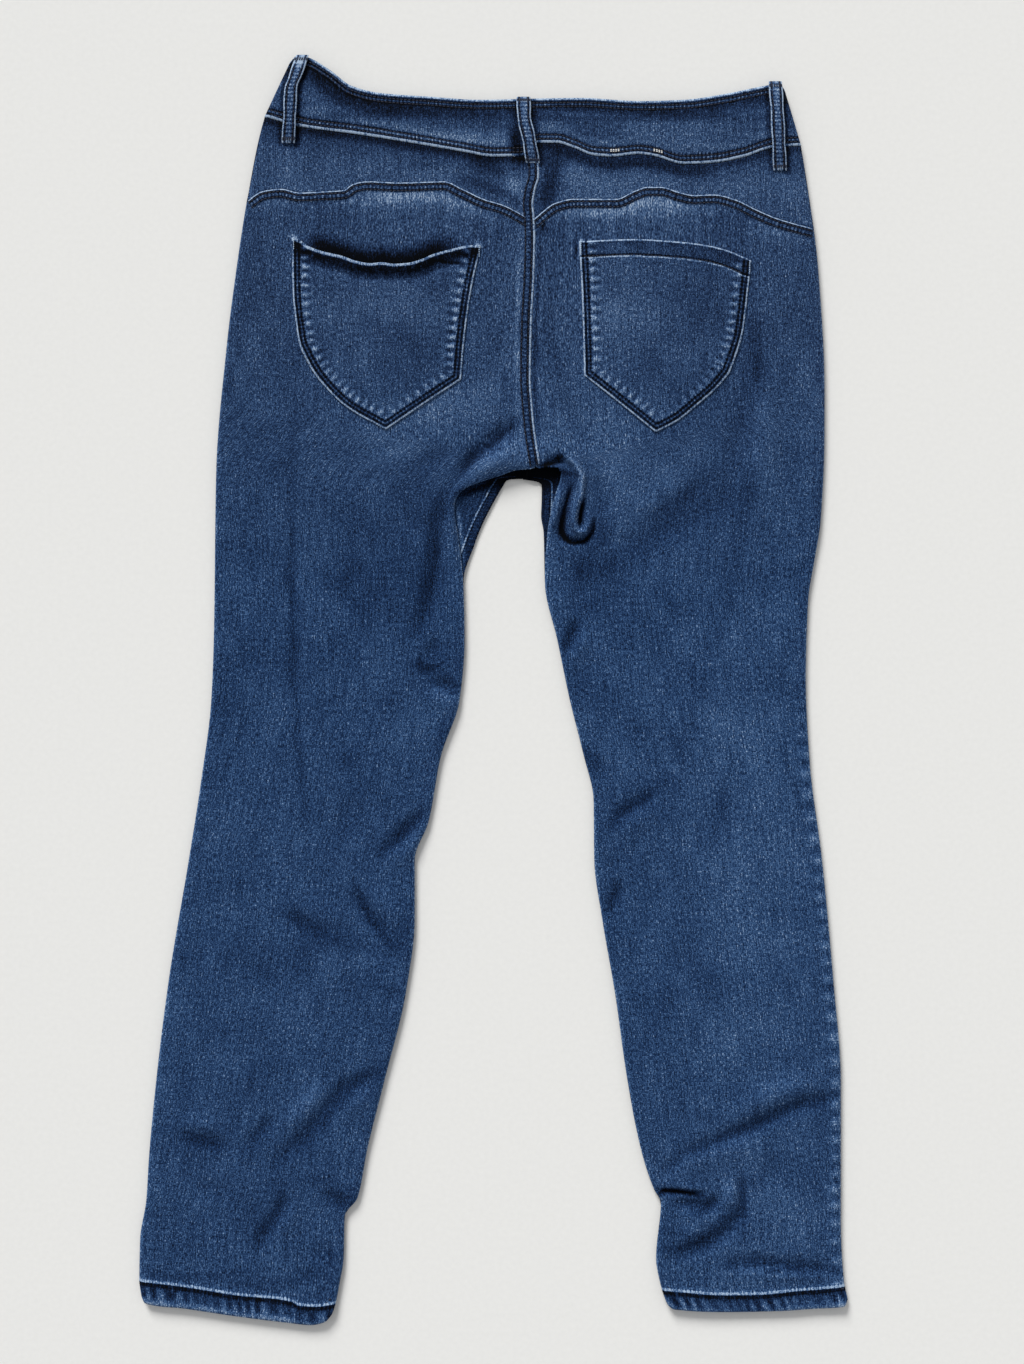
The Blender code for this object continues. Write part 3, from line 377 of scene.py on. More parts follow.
RUBBED_AND_SHADED = (                  # (path, width, amount) rows
    # waistband and yokes
    (((-150, 492), (-128, 476), (-96, 465), (-50, 460)), 8, -0.13),
    (((-130, 452), (-76, 446), (-30, 440), (10, 438)), 5, 0.10),
    (((34, 463), (65, 460), (110, 458)), 3, 0.10),
    (((110, 446), (160, 441), (200, 446)), 7, 0.05),
    (((17, 447), (17.5, 436), (21, 425)), 4.2, -0.55),
    (((-64, 412), (-36, 415), (-12, 416)), 5, 0.07),
    (((-30, 409), (-8, 403), (10, 396), (22, 388)), 4.6, -0.15),
    (((-108, 388), (-80, 395), (-51, 394.5), (-32, 388), (-9, 380), (10, 372)), 3.4, 0.10),
    (((43, 375), (54, 379), (72, 382.5), (94, 383), (114, 389), (136, 390), (153, 384),
      (174, 382)), 3.4, 0.10),
    (((8, 424), (14, 408), (20, 396)), 5, 0.13),
    (((-20, 420), (0, 416), (16, 416)), 4, -0.12),
    (((47, 424), (45, 404), (38, 384)), 8.0, -0.32),
    (((50, 431), (64, 427), (80, 420), (96, 419), (116, 421), (132, 419), (152, 413),
      (176, 414)), 3.4, -0.25),
    (((46, 372), (45, 300), (46, 240)), 7, -0.08),
    (((27, 398), (28, 380)), 2.4, -0.22),
    # pockets and seat
    (((69.6, 358.6), (69.6, 345.4)), 1.7, 0.34),
    (((68.4, 359), (71.2, 358.6)), 1.4, 0.45),
    (((-161.5, 361.5), (-157, 359.6)), 1.7, 0.50),
    (((-15, 355.2), (-10, 354.8)), 1.6, 0.40),
    (((-55, 344), (-38, 341.4), (-19, 340.6)), 1.2, -0.34),
    (((-50, 342), (-36, 339.4), (-19, 338.6)), 1.1, 0.12),
    (((66.4, 357), (66.0, 346)), 1.3, -0.34),
    (((36, 376), (41, 369)), 3.0, -0.42),
    (((21.5, 368), (20, 330), (18.8, 290), (18.6, 240), (21, 196)), 2.0, 0.13),
    (((37, 372), (36, 330), (33.5, 290), (32.8, 240), (36, 200)), 1.5, -0.20),
    (((-107, 297), (-48, 268)), 11, -0.06),
    (((-96, 208), (-60, 216), (-20, 234), (8, 248)), 16, 0.05),
    (((60, 240), (84, 200), (106, 150)), 22, 0.07),
    # left crotch
    (((-12, 192), (-20, 182), (-28, 170)), 3.4, -0.10),
    (((20, 215), (9, 206), (-3, 195)), 2.6, -0.16),
    (((22, 200), (6, 187), (-10, 177), (-22, 168)), 5.0, 0.02),
    (((-28, 157), (-11, 162), (5, 170)), 2.6, -0.34),
    (((-30, 152), (-27, 130), (-23, 96)), 1.8, 0.30),
    (((-40, 134), (-41, 104), (-47, 76), (-56, 50)), 2.2, 0.06),
    (((-36, 158), (-46, 136), (-49, 108), (-53, 78), (-60, 50), (-68, 34)), 8, -0.10),
    # left leg
    (((-158, 262), (-161, 176), (-162, 104), (-160, 34), (-163, 18), (-158, -8), (-154, -60),
      (-152, -112)), 2.8, -0.07),
    (((-147, 104), (-118, 72), (-102, 60)), 7, -0.05),
    (((-63, 22), (-55, 17), (-43, 20)), 3.4, -0.16),
    (((-43, 15), (-26, 0)), 3, -0.10),
    (((-57, -98), (-71, -116), (-91, -132)), 4, -0.08),
    (((-113, -150), (-105, -168), (-99, -184), (-81, -206)), 3, -0.13),
    (((-167, -172), (-150, -190), (-122, -203), (-96, -203)), 8, -0.08),
    (((-99, -236), (-75, -244)), 4, -0.06),
    (((-91, -304), (-107, -312), (-127, -336), (-151, -366)), 5, -0.08),
    (((-185, -344), (-191, -364), (-203, -384)), 5, -0.06),
    (((-247, -358), (-231, -364), (-209, -367)), 4.5, -0.08),
    (((-155, -392), (-139, -392), (-127, -387)), 4, -0.09),
    (((-166, -402), (-175, -420), (-192, -450)), 5, -0.07),
    (((-127, -401), (-112, -412)), 5, -0.08),
    (((-171, -448), (-155, -454)), 3, -0.06),
    (((-134, -454), (-126, -454)), 4, -0.10),
    (((-190, -478), (-160, -474), (-137, -462)), 5, -0.08),
    (((-275, -467), (-250, -470), (-200, -466)), 4, -0.08),
    # finger of cloth by the right crotch: painted shade in its grooves and under its curled end,
    # painted highlights on its rims
    (((62.4, 163), (59.2, 153), (56.4, 143)), 1.3, -0.30),
    (((56.8, 144), (54.6, 134), (54.6, 126), (59, 120)), 2.3, -0.52),
    (((56, 121.5), (63.6, 117.6), (72, 118.8), (77, 123)), 1.6, -0.46),
    (((76, 122), (79.8, 128), (80.4, 137)), 1.4, -0.28),
    (((71.8, 152), (69.8, 142.4), (68.8, 131)), 1.3, -0.52),
    (((38, 178), (46, 181.5), (56, 187)), 2.2, -0.62),
    (((56, 188), (65.6, 181), (71.6, 169.6), (70, 154), (67.2, 141.6), (66.2, 131),
      (68.8, 125.2)), 1.5, 0.17),
    (((57, 158), (53, 140), (50.6, 128)), 1.7, 0.08),
    (((50, 176), (58, 173.5), (67, 172.5)), 2.0, -0.22),
    (((88, 140), (88, 120), (74, 110)), 7, -0.07),
    # right leg
    (((207, 298), (211, 270), (212, 248)), 4.5, -0.11),
    (((210, 262), (208, 216), (205, 165), (196, 118), (183, 76), (168, 20),
      (154, -50)), 8, -0.065),
    (((173, 168), (157, 156), (137, 144), (121, 136)), 7, -0.06),
    (((170, 120), (163, 72), (155, 60), (137, 40)), 12, -0.05),
    (((117, 112), (93, 104), (77, 100), (61, 84)), 8, -0.05),
    (((85, 72), (69, 64)), 4, -0.06),
    (((65, 52), (60, 40), (55, 30)), 5, -0.09),
    (((46, 124), (46, 84)), 4.5, 0.05),
    (((213, 236), (214, 150)), 14, 0.05),
    (((175, 80), (195, -60), (210, -200), (212, -330)), 50, 0.055),
    (((143, -28), (148, -44), (146, -58)), 4.5, -0.07),
    (((139, -61), (149, -65)), 3, 0.07),
    (((140, -70), (129, -80), (101, -100), (88, -118)), 5, -0.09),
    (((181, -80), (183, -96), (185, -112)), 7, -0.05),
    (((90, -180), (96, -164), (101, -152)), 3.4, -0.07),
    (((129, -236), (141, -244), (157, -240), (169, -228)), 8, -0.05),
    (((189, -272), (193, -296)), 5, 0.04),
    (((149, -336), (165, -340), (181, -344)), 4, -0.06),
    (((153, -371), (175, -363), (205, -351), (247, -332), (276, -330)), 4.0, -0.06),
    (((131, -405), (136, -400.5), (148, -401.5), (168, -405)), 1.7, -0.46),
    (((140, -407), (160, -411), (176, -409)), 5, -0.07),
    (((157, -420), (169, -416), (176, -410)), 3.4, -0.14),
    (((135, -450), (149, -448), (165, -442), (185, -424), (196, -418)), 4.4, -0.12),
    (((149, -436), (165, -438)), 3, -0.10),
    (((200, -392), (200, -408), (201, -436)), 3, -0.09),
    (((197, -390), (215, -396)), 3, -0.07),
    (((185, -460), (213, -458), (245, -462), (274, -462)), 3.6, -0.09),
)
STROKE_TAPER = 0.6          # how much weaker a stroke is at its ends

# ---- back pockets ----------------------------------------------------------------------
Pocket = namedtuple("Pocket", "name top left low_left low_right right gape")
POCKETS = (
    Pocket(
        "pocket_left",
        ((-161, 361.5), (-156, 360), (-147, 354), (-136, 350), (-121, 346.4), (-109, 342.2),
         (-98, 340.4), (-89, 341.2), (-80, 340), (-68, 340.8), (-57, 344), (-48, 348),
         (-34, 352), (-18, 355.6), (-10, 355.4)),
        ((-161, 361.5), (-160.4, 318), (-158, 294), (-155.5, 278), (-149, 263)),
        ((-149, 263), (-143.5, 253.5), (-131.5, 239), (-118, 226.5), (-86, 208)),
        ((-86, 208), (-55, 229), (-26, 248)),
        ((-10, 355), (-18, 318), (-23, 282), (-26, 248)),
        3.0,
    ),
    Pocket(
        "pocket_right",
        ((68.4, 358.5), (112, 360), (141, 358.5), (171, 355), (188.5, 350.5), (206, 343)),
        ((68.4, 358.5), (71, 306), (72, 270), (72.4, 251.5)),
        ((72.4, 251.5), (101, 229), (129.6, 206)),
        ((129.6, 206), (147, 215), (162, 227), (178, 241), (188.5, 253.5)),
        ((206, 343), (204.5, 329), (199, 285), (194, 268), (188.5, 253.5)),
        0.3,
    ),
)
MOUTH_SHARE = 0.16          # share of the pocket's depth that gapes
POCKET_ROWS = (2.6, 5.6)    # stitch rows, in from the pocket's edge
POCKET_HEM_ROW = 12.4       # and down from its mouth
PUCKER_PITCH = 7.6          # from one ripple beside the stitching to the next

# ---- belt loops ------------------------------------------------------------------------
Loop = namedtuple("Loop", "name line half_width slack worn_top")
LOOPS = (
    Loop("belt_loop_left",
         ((-152.5, 507), (-158, 490), (-161.5, 480), (-162.5, 458), (-164, 437)), 5.2, 1.6, 0.58),
    Loop("belt_loop_middle", ((24, 473.6), (24.5, 458), (28, 441), (31.5, 421)), 5.6, 1.2, 0.10),
    Loop("belt_loop_right", ((225, 486), (226.5, 459), (227.6, 437), (229, 415)), 5.4, 1.6, 0.14),
)
LOOP_DROP = (-14.0, -3.0)   # above the waist seam, where the loops come down to the yokes
LOOP_SHADE = ((1, 2.6, 0.34), (-1, 2.0, 0.22))      # (side, width, amount) of the painted shadow beside a loop
LOOP_SHADE_OUT = 1.0        # how far out from the loop's side that is darkest
FRONT_LOOP_HALF_WIDTH = 5.2
FRONT_LOOP_CUT_WIDTH = 10.6
FRONT_LOOP_CURL = 0.45      # how far the sides of the front loops curl up
FRONT_LOOPS = (("belt_loop_front_left", -92.0), ("belt_loop_front_right", 146.0))

# ---- the felled seam down the seat: its folded edge and its width ----------------------
SEAT_FELL = (
    (36.2, 424), (36.6, 411), (33.5, 399), (32, 388), (32.9, 377), (33.5, 361),
    (32.8, 334), (30.6, 290), (29.9, 247), (30.8, 232), (33.5, 205), (37.4, 180.5),
)
SEAT_FELL_WIDTH = 9.2
YOKE_FELL_WIDTH = 7.8
FELL_LIFT = 0.75            # how far a yoke's seam stands up
SEAT_FELL_LIFT = 1.1        # and the seat's, which lies over both of them
FELL_WALL = 0.5
FELL_PUCKER_PITCH = 6.5
FELL_SECTION = (            # (distance from the folded edge, share of the height) across a seam
    (0.0, -0.4), (0.05, 0.3), (0.5, 0.9), (1.2, 1.0), (1.9, 0.62), (2.6, 0.95), (3.6, 1.0),
    (4.6, 0.98), (5.4, 0.9), (6.3, 0.55), (7.0, 0.6), (7.6, 0.15), (7.7, -0.4),
)
FELL_ROWS = (2.2, 6.5)      # stitch rows, in from the folded edge
SEAT_ROWS = (2.7, 8.0)      # the same, for the seat seam
BAND_LOW_ROWS = (3.3, 6.5)  # stitch rows, up from the waistband's lower edge
BAND_TOP_ROWS = (3.7, 6.8)  # and down from its upper edge
STITCH = 3.1                # from one stitch to the next
STITCH_FILL = 0.93          # share of that which the thread shows

# ---- fly -------------------------------------------------------------------------------
BAND_OVERLAP = 30.0         # of the front waistband's two ends
BAND_SLOPE = (3.0, 45.0)    # past the left end, where the right one comes down off it
BUTTON_Y = 432.0
BUTTON_SIDES = 48
BUTTON_PROFILE = (          # (radius, height) from the middle of its face, round its rim and back
    (0.0, 0.35), (2.2, 0.3), (2.9, 0.0), (5.6, 0.0), (6.2, 0.25), (7.2, 0.25),
    (7.9, 0.05), (8.4, 0.45), (8.5, 0.8), (8.3, 1.2), (7.6, 1.5), (0.0, 1.5),
)

# ---- the camera's view -----------------------------------------------------------------
VIEW_LENGTH = 1091.2        # from the bottom of the view to its top, which is its longer side
VIEW_PLANE = 5.0            # height that this is measured at
VIEW_CENTRE = (14.8, 6.4)
CAMERA_HEIGHT = 1700.0
SENSOR = 36.0
FLOOR_SIZE = 6000.0
FLOOR_DROP = 0.3            # keeps the floor's face clear of the cloth that lies on it
WINDOW_SIDE = (-0.38, 1.0, 0.58)        # direction of the big window that lights the cloth
WINDOW_SPREAD = 24.0                    # degrees that it spans


# ---- small tools -----------------------------------------------------------------------
class Curve:
    """A smooth line through (place, value) rows that never overshoots them."""

    def __init__(self, rows):
        rows = sorted(rows)
        self.place = np.array([row[0] for row in rows], float)
        self.value = np.array([row[1] for row in rows], float)
        steps = np.diff(self.place)
        rises = np.diff(self.value) / steps
        slope = [rises[0]]
        for before, after, left, right in zip(rises, rises[1:], steps, steps[1:]):
            if before * after <= 0:
                slope.append(0.0)
                continue
            weight_a, weight_b = 2 * right + left, right + 2 * left
            slope.append((weight_a + weight_b) / (weight_a / before + weight_b / after))
        slope.append(rises[-1])
        self.slope = np.array(slope)

    def __call__(self, at):
        at = np.clip(at, self.place[0], self.place[-1])
        index = np.clip(np.searchsorted(self.place, at, "right") - 1, 0, len(self.place) - 2)
        step = self.place[index + 1] - self.place[index]
        t = (at - self.place[index]) / step
        low, high = self.value[index], self.value[index + 1]
        return (low * (1 + 2 * t) * (1 - t) ** 2 + high * t * t * (3 - 2 * t)
                + step * (self.slope[index] * t * (1 - t) ** 2
                          - self.slope[index + 1] * t * t * (1 - t)))


def lengths_along(points):
    """How far along the line each of its points is."""
    return np.concatenate(([0.0], np.cumsum(np.hypot(*np.diff(points, axis=0).T))))


class Path:
    """A smooth line in the plane, read by its share of the whole length."""

    def __init__(self, points):
        points = np.array(points, float)
        marks = lengths_along(points)
        self.length = marks[-1]
        self.x = Curve(list(zip(marks, points[:, 0])))
        self.y = Curve(list(zip(marks, points[:, 1])))

    def __call__(self, share):
        return self.x(share * self.length), self.y(share * self.length)


def mix(a, b, share):
    return a + (b - a) * share


def even(count):
    """Shares between 0 and 1, all the same distance apart."""
    return np.arange(1, count + 1) / (count + 1)


def ease(low, high, at):
    """0 at low and 1 at high, smooth between and level beyond."""
    t = np.clip((at - low) / (high - low), 0.0, 1.0)
    return t * t * (3 - 2 * t)


def bump(at, middle, width):
    """1 at the middle, falling off softly to nothing at about twice the width."""
    return np.exp(-((at - middle) / width) ** 2)


def drifting_wave(at, pitch, *drifts, by=None):
    """A sine of this pitch along at, drifting by (strength, length, phase) rows along by."""
    by = at if by is None else by
    drift = sum(strength * np.sin(by / length + phase) for strength, length, phase in drifts)
    return np.sin(at * 2 * math.pi / pitch + drift)


def unevenness(x, y, size_x, size_y, seed):
    """Smooth noise from -1 to 1 over arrays of places."""
    flat = [noise.noise(Vector((a / size_x, b / size_y, seed)))
            for a, b in zip(x.ravel(), y.ravel())]
    return np.array(flat).reshape(x.shape)


side_left = Curve(SIDE_LEFT)
side_right = Curve(SIDE_RIGHT)
centre_back = Curve(CENTRE_BACK)
waist_top = Curve(WAIST_TOP)
waist_seam = Curve(WAIST_SEAM)
front_waist_top = Curve(FRONT_WAIST_TOP)
front_waist_seam = Curve(FRONT_WAIST_SEAM)
yoke_seam_left = Curve(YOKE_SEAM_LEFT)
yoke_seam_right = Curve(YOKE_SEAM_RIGHT)
left_pocket_mouth = Curve(POCKETS[0].top)


def nearest(x, y, path):
    """Distance to a line of straight steps, and the share of its steps at the nearest place."""
    near = np.full(np.broadcast(x, y).shape, 1e9)
    place = np.zeros(near.shape)
    steps = len(path) - 1
    for step, ((x0, y0), (x1, y1)) in enumerate(zip(path, path[1:])):
        run_x, run_y = x1 - x0, y1 - y0
        along = ((x - x0) * run_x + (y - y0) * run_y) / (run_x ** 2 + run_y ** 2)
        along = np.clip(along, 0.0, 1.0)
        away = np.hypot(x - x0 - run_x * along, y - y0 - run_y * along)
        place = np.where(away < near, (step + along) / steps, place)
        near = np.minimum(away, near)
    return near, place


def drawn(x, y, rows, taper):
    """Sum of soft lines, each of them weaker towards its ends."""
    total = np.zeros(np.broadcast(x, y).shape)
    for path, width, amount in rows:
        near, place = nearest(x, y, path)
        total += amount * (1 - taper * np.abs(2 * place - 1) ** 3) * np.exp(-(near / width) ** 2)
    return total


def fold_height(x, y):
    return CREASE_DEPTH * drawn(x, y, CREASES, CREASE_TAPER)


def back_top(x, y):
    """Height of the back's upper face, away from its rolled edges."""
    return mix(LEG_TOP, SEAT_TOP, ease(SEAT_FROM, SEAT_TO, y))


def side_seam_height(y):
    return mix(SEAM_BACK, BAND_SEAM, ease(SEAM_RISE_FROM, SEAM_RISE_TO, y))


def rolled(distance):
    """Share of the full height at this distance from a rolled edge."""
    return LIP + (1 - LIP) * np.sqrt(1 - (1 - np.clip(distance / ROLL, 0, 1)) ** 2)


def seat_height(x, y):
    """Height of the seat and yokes, for what is sewn on to them."""
    z = back_top(x, y) + fold_height(x, y)
    from_side = np.minimum(x - side_left(y), side_right(y) - x)
    rim = side_seam_height(y)
    return rim + (z - rim) * rolled(np.maximum(from_side, 0.0))


def worn(x, y):
    """How much paler or darker the cloth is drawn, from the tables of strokes and patches: rubbed wear
    and painted highlights, and painted shade.
    """
    total = drawn(x, y, RUBBED_AND_SHADED, STROKE_TAPER)
    for middle_x, middle_y, width, length, amount in WEAR_AND_SHADE:
        total += amount * np.exp(-((x - middle_x) / width) ** 2 - ((y - middle_y) / length) ** 2)
    return total


def loop_shade(x, y):
    """Painted shadow on the cloth close beside the belt loops, darker on the side away from the
    window.
    """
    total = np.zeros(np.broadcast(x, y).shape)
    for spec in LOOPS:
        beside = x - Curve([(at, place) for place, at in spec.line])(y)
        ends = ease(spec.line[-1][1] - 6, spec.line[-1][1] + 2, y)
        for side, width, amount in LOOP_SHADE:
            middle = side * (spec.half_width + LOOP_SHADE_OUT)
            total += amount * bump(beside, middle, width) * ends
    return total


def seam_pucker(x, below, seed):
    """Pale streaks that run down from the yoke seam's stitches, where it has been drawn in."""
    wave = drifting_wave(x, YOKE_PUCKER_PITCH, (2.0, 15.0, seed), (1.2, 5.1, 0.0))
    return (0.4 + 0.6 * wave) * ease(-1.0, 1.5, below) * ease(11.0, 1.0, below)


# ---- making meshes ---------------------------------------------------------------------
def link(made):
    bpy.context.scene.collection.objects.link(made)
    return made


def cloth(name, points, uv, fields, wall, material, faces_up=True):
    """A grid of rows by columns placed at points, with its pattern's place and its fields.
    The material reads the fields: across and hem are distances from sewn edges and along
    the way along them, in metres, and fade is how much paler or darker the cloth is drawn,
    from wear and from painted light and shade, and 0 where it is neither."""
    rows, columns = points.shape[:2]
    grid = bmesh.new()
    bmesh.ops.create_grid(grid, x_segments=columns - 1, y_segments=rows - 1, size=1.0)
    mesh = bpy.data.meshes.new(name)
    grid.to_mesh(mesh)
    grid.free()
    place = np.empty(len(mesh.vertices) * 3)
    mesh.vertices.foreach_get("co", place)
    place = place.reshape(-1, 3)
    column = np.rint((place[:, 0] + 1) / 2 * (columns - 1)).astype(int)
    row = np.rint((place[:, 1] + 1) / 2 * (rows - 1)).astype(int)
    mesh.vertices.foreach_set("co", (points[row, column] * MM).ravel())
    corner = np.empty(len(mesh.loops), int)
    mesh.loops.foreach_get("vertex_index", corner)
    layer = mesh.uv_layers.new(name="cloth")
    layer.uv.foreach_set("vector", (uv[row, column] * MM)[corner].ravel())
    for key, plain in (("across", 1.0), ("hem", 1.0), ("along", 0.0), ("fade", 0.0)):
        values = np.broadcast_to(fields.get(key, plain), (rows, columns))
        made = mesh.attributes.new(key, "FLOAT", "POINT")
        made.data.foreach_set("value", values[row, column].astype(float).ravel())
    mesh.update()
    normals = np.empty(len(mesh.polygons) * 3)
    mesh.polygons.foreach_get("normal", normals)
    if (normals[2::3].sum() > 0) != faces_up:
        mesh.flip_normals()
    mesh.shade_smooth()
    mesh.materials.append(material)
    piece = link(bpy.data.objects.new(name, mesh))
    if wall:
        thicken = piece.modifiers.new("cloth wall", "SOLIDIFY")
        thicken.thickness = wall * MM
        thicken.offset = -1.0
    return piece


def settle(piece, node, slot):
    """Rides with the only body and takes the node's place. slot is not used."""
    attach(piece, "root")
    if node:
        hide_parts(node)
    return piece


def flat_area(points):
    """Area of one face of a grid, in square metres."""
    along, across = np.diff(points, axis=0)[:, :-1], np.diff(points, axis=1)[:-1]
    return float(np.linalg.norm(np.cross(along, across), axis=2).sum()) * MM * MM


def cut_cloth(node, cut, points, uv, fields, material, faces_up=True):
    """The cloth that stands for a node, as thick as its cut's wall.
    The area is what its outline encloses, within the cut's width and length."""
    piece = cloth(node + "_denim", points, uv, fields, cut.wall, material, faces_up)
    settle(piece, node, cut.slot)
    width, length = cut.width * MM, cut.length * MM
    area = min(flat_area(points), width * length)


def edge_insets(flat):
    """Insets of the columns at an edge: where it rolls over, and where it is flat."""
    angle = np.linspace(0, math.pi / 2, ROLL_STEPS)
    round_part = ROLL * (1 - np.cos(angle))
    flat_part = np.linspace(0, ROLL, ROLL_STEPS + 1)
    return np.where(flat, flat_part, np.concatenate(([0.0], round_part)))


def edge_rises():
    """Shares of the full height that the same columns stand at."""
    angle = np.linspace(0, math.pi / 2, ROLL_STEPS)
    return np.concatenate(([0.0], LIP + (1 - LIP) * np.sin(angle)))


def columns_across(width, outer_roll, inner_roll, middle):
    """Insets from the outer end and rises at both ends, as arrays of rows by columns."""
    width, outer_roll, inner_roll = (np.atleast_1d(np.asarray(a, float))[:, None]
                                     for a in (width, outer_roll, inner_roll))
    round_insets, flat_insets = edge_insets(False)[None], edge_insets(True)[None]
    rises = edge_rises()[None]
    outer = mix(flat_insets, round_insets, outer_roll) + 0 * width
    inner = mix(flat_insets, round_insets, inner_roll) + 0 * width
    between = mix(ROLL, width - ROLL, np.asarray(middle)[None])
    insets = np.hstack((outer, between, (width - inner)[:, ::-1]))
    ones = np.ones((len(width), len(middle)))
    level = np.ones_like(outer)
    outer_rise = np.hstack((1 - outer_roll * (1 - rises) + 0 * outer, ones, level))
    inner_rise = np.hstack((level, ones, (1 - inner_roll * (1 - rises) + 0 * outer)[:, ::-1]))
    return insets, outer_rise, inner_rise


# ---- legs ------------------------------------------------------------------------------
class Leg:
    """One leg's sections as smooth functions of the distance below its first one."""

    def __init__(self, sections, side, hem, hem_seam):
        self.side = side
        self.hem = Curve(hem)
        self.hem_seam = Curve(hem_seam)
        self.down = [sections[0].outer_y - section.outer_y for section in sections]
        self.read = {field: Curve([(at, getattr(section, field))
                                   for at, section in zip(self.down, sections)])
                     for field in Section._fields}

    def rows(self, mesh):
        """Distances down to the rows of points."""
        last, made = self.down[-1], [0.0]
        while made[-1] < last:
            y = self.read["outer_y"](made[-1])
            pitch = mesh.pitch
            if any(low < y < high for low, high in mesh.fine_spans):
                pitch = mesh.fine_pitch
            if last - made[-1] < mesh.hem_length:
                pitch = mesh.hem_pitch
            made.append(made[-1] + pitch * QUICK)
        made[-1] = last
        return np.array(made)

    def outer(self, down):
        """Places along the side seam."""
        y = self.read["outer_y"](down)
        return self.side(y), y


LegGrid = namedtuple("LegGrid", "down x y insets width outer_rise inner_rise from_inner "
                                "above_end above_hem")


def leg_grid(leg, mesh, inner, top_line):
    """Places of a leg's points in the plane, and how far they are from its edges."""
    down = leg.rows(mesh)
    start, end = leg.outer(down), inner(down)
    width = np.hypot(end[0] - start[0], end[1] - start[1])
    roll = leg.read["roll"](down)
    middle = np.interp(even(int(mesh.columns / QUICK)), (0, mesh.crowding, 1), (0, 0.8, 1))
    insets, outer_rise, inner_rise = columns_across(width, 1.0, roll, middle)
    share = insets / width[:, None]
    x = mix(start[0][:, None], end[0][:, None], share)
    y = mix(start[1][:, None], end[1][:, None], share)
    for at, line, fade, nudge in (
            (0, top_line, 1 - ease(0, YOKE_FADE, down), -SLOPING_HALF_GAP),
            (-1, leg.hem, 1 - ease(0, HEM_FADE, down[-1] - down), 0.0)):
        line_x = mix(start[0][at], end[0][at], share)
        bend = line(line_x) - mix(start[1][at], end[1][at], share) + nudge
        y = y + fade[:, None] * bend
    from_inner = np.where(roll[:, None] > 0.5, width[:, None] - insets, FAR)
    above_end = down[-1] - down[:, None] + 0 * x
    above_hem = np.where(above_end < HEM_REACH, HEM_DEPTH + y - leg.hem_seam(x), FAR)
    return LegGrid(down, x, y, insets, width, outer_rise, inner_rise, from_inner, above_end,
                   above_hem)


def leg_uv(grid):
    """The warp runs down the middle of the leg."""
    return np.dstack((grid.insets - grid.width[:, None] / 2,
                      np.broadcast_to(-grid.down[:, None], grid.insets.shape)))


def back_leg(name, sections, side, hem, top_line, toward, material):
    """A back leg: creased, rolled over at its edges and doubled at its hem. toward is 1 on
    the left leg and -1 on the right one."""
    leg = Leg(sections, side, *hem)

    def inner(at):
        x, y = leg.read["inner_x"](at), leg.read["inner_y"](at)
        x = np.where(at < leg.down[CROTCH_SECTION], centre_back(y), x)
        return x - toward * GAP / 2, y

    grid = leg_grid(leg, BACK_MESH, inner, top_line)
    x, y, down = grid.x, grid.y, grid.down
    from_edge = np.minimum(grid.insets, grid.from_inner)
    calm = ease(0, EDGE_CALM, from_edge)
    folds = fold_height(x, y)
    folds = np.where(folds < 0, folds * mix(EDGE_SHARE, 1.0, calm), folds)
    rumple = RUMPLE * unevenness(x, y, *RUMPLE_SIZE, 3.7)
    rumple = rumple * ease(RUMPLE_FROM, RUMPLE_TO, down)[:, None]
    roping = hem_roping(x, grid.above_hem)
    pucker = side_pucker(y, grid.insets, toward)
    z = np.maximum(back_top(x, y) + folds + rumple * calm, LOWEST_TOP)
    z = z + HEM_RAISE * ease(HEM_DEPTH + HEM_STEP, HEM_DEPTH, grid.above_hem)
    z = z + ROPING_HEIGHT * roping - HEM_EDGE_DROP * ease(HEM_EDGE_WIDTH, 0.0, grid.above_end)
    z = z + pucker * SIDE_PUCKER_HEIGHT
    z = z - (z - SEAM_BACK) * (1 - grid.outer_rise)
    z = z - (z - leg.read["edge_z"](down)[:, None]) * (1 - grid.inner_rise)
    # Besides wear: painted shade in the troughs and under the left pocket's mouth, and a painted
    # highlight on the outer edge.
    fade = worn(x, y) + crease_wear_and_shade(folds) + SIDE_PUCKER_PALE * pucker + ROPING_PALE * roping
    fade = fade - mouth_shade(x, y) + EDGE_PALE * bump(from_edge, 0.0, EDGE_PALE_WIDTH)
    below_seam = top_line(x) - y - YOKE_FELL_WIDTH
    strong = sum((amount * bump(x, middle, width) for middle, width, amount in YOKE_PUCKERS),
                 YOKE_PUCKER_LEAST)
    fade = fade + PUCKER_PALE * strong * seam_pucker(x, below_seam, toward)
    fields = {"hem": grid.above_hem * MM, "fade": fade, "along": x * MM}
    cut_cloth(name, BACK_LEG, np.dstack((x, y, z)), leg_uv(grid), fields, material)


def hem_roping(x, above_hem):
    """Slanting ridges that a chain-stitched hem twists into."""
    slant = x + mix(0.12, 0.5, ease(0, 60, x)) * above_hem
    wave = drifting_wave(slant, ROPING_PITCH, (2.0, 17.0, 0.0), (1.4, 6.3, 0.0), by=x)
    return (0.75 + 0.45 * np.sin(x / 11.0 + 0.6)) * wave * bump(above_hem, 6.5, 5.0)


def side_pucker(y, inset, toward):
    """Short ripples beside the side seams, strong on the right leg below the knee."""
    strength = 0.22 * ease(-72, -100, y) if toward > 0 else ease(16, -60, y)
    wave = drifting_wave(y, SIDE_PUCKER_PITCH, (2.2, 31.0, 0.0))
    return strength * (0.4 + 0.8 * wave) * bump(inset, 4.4, 4.0)


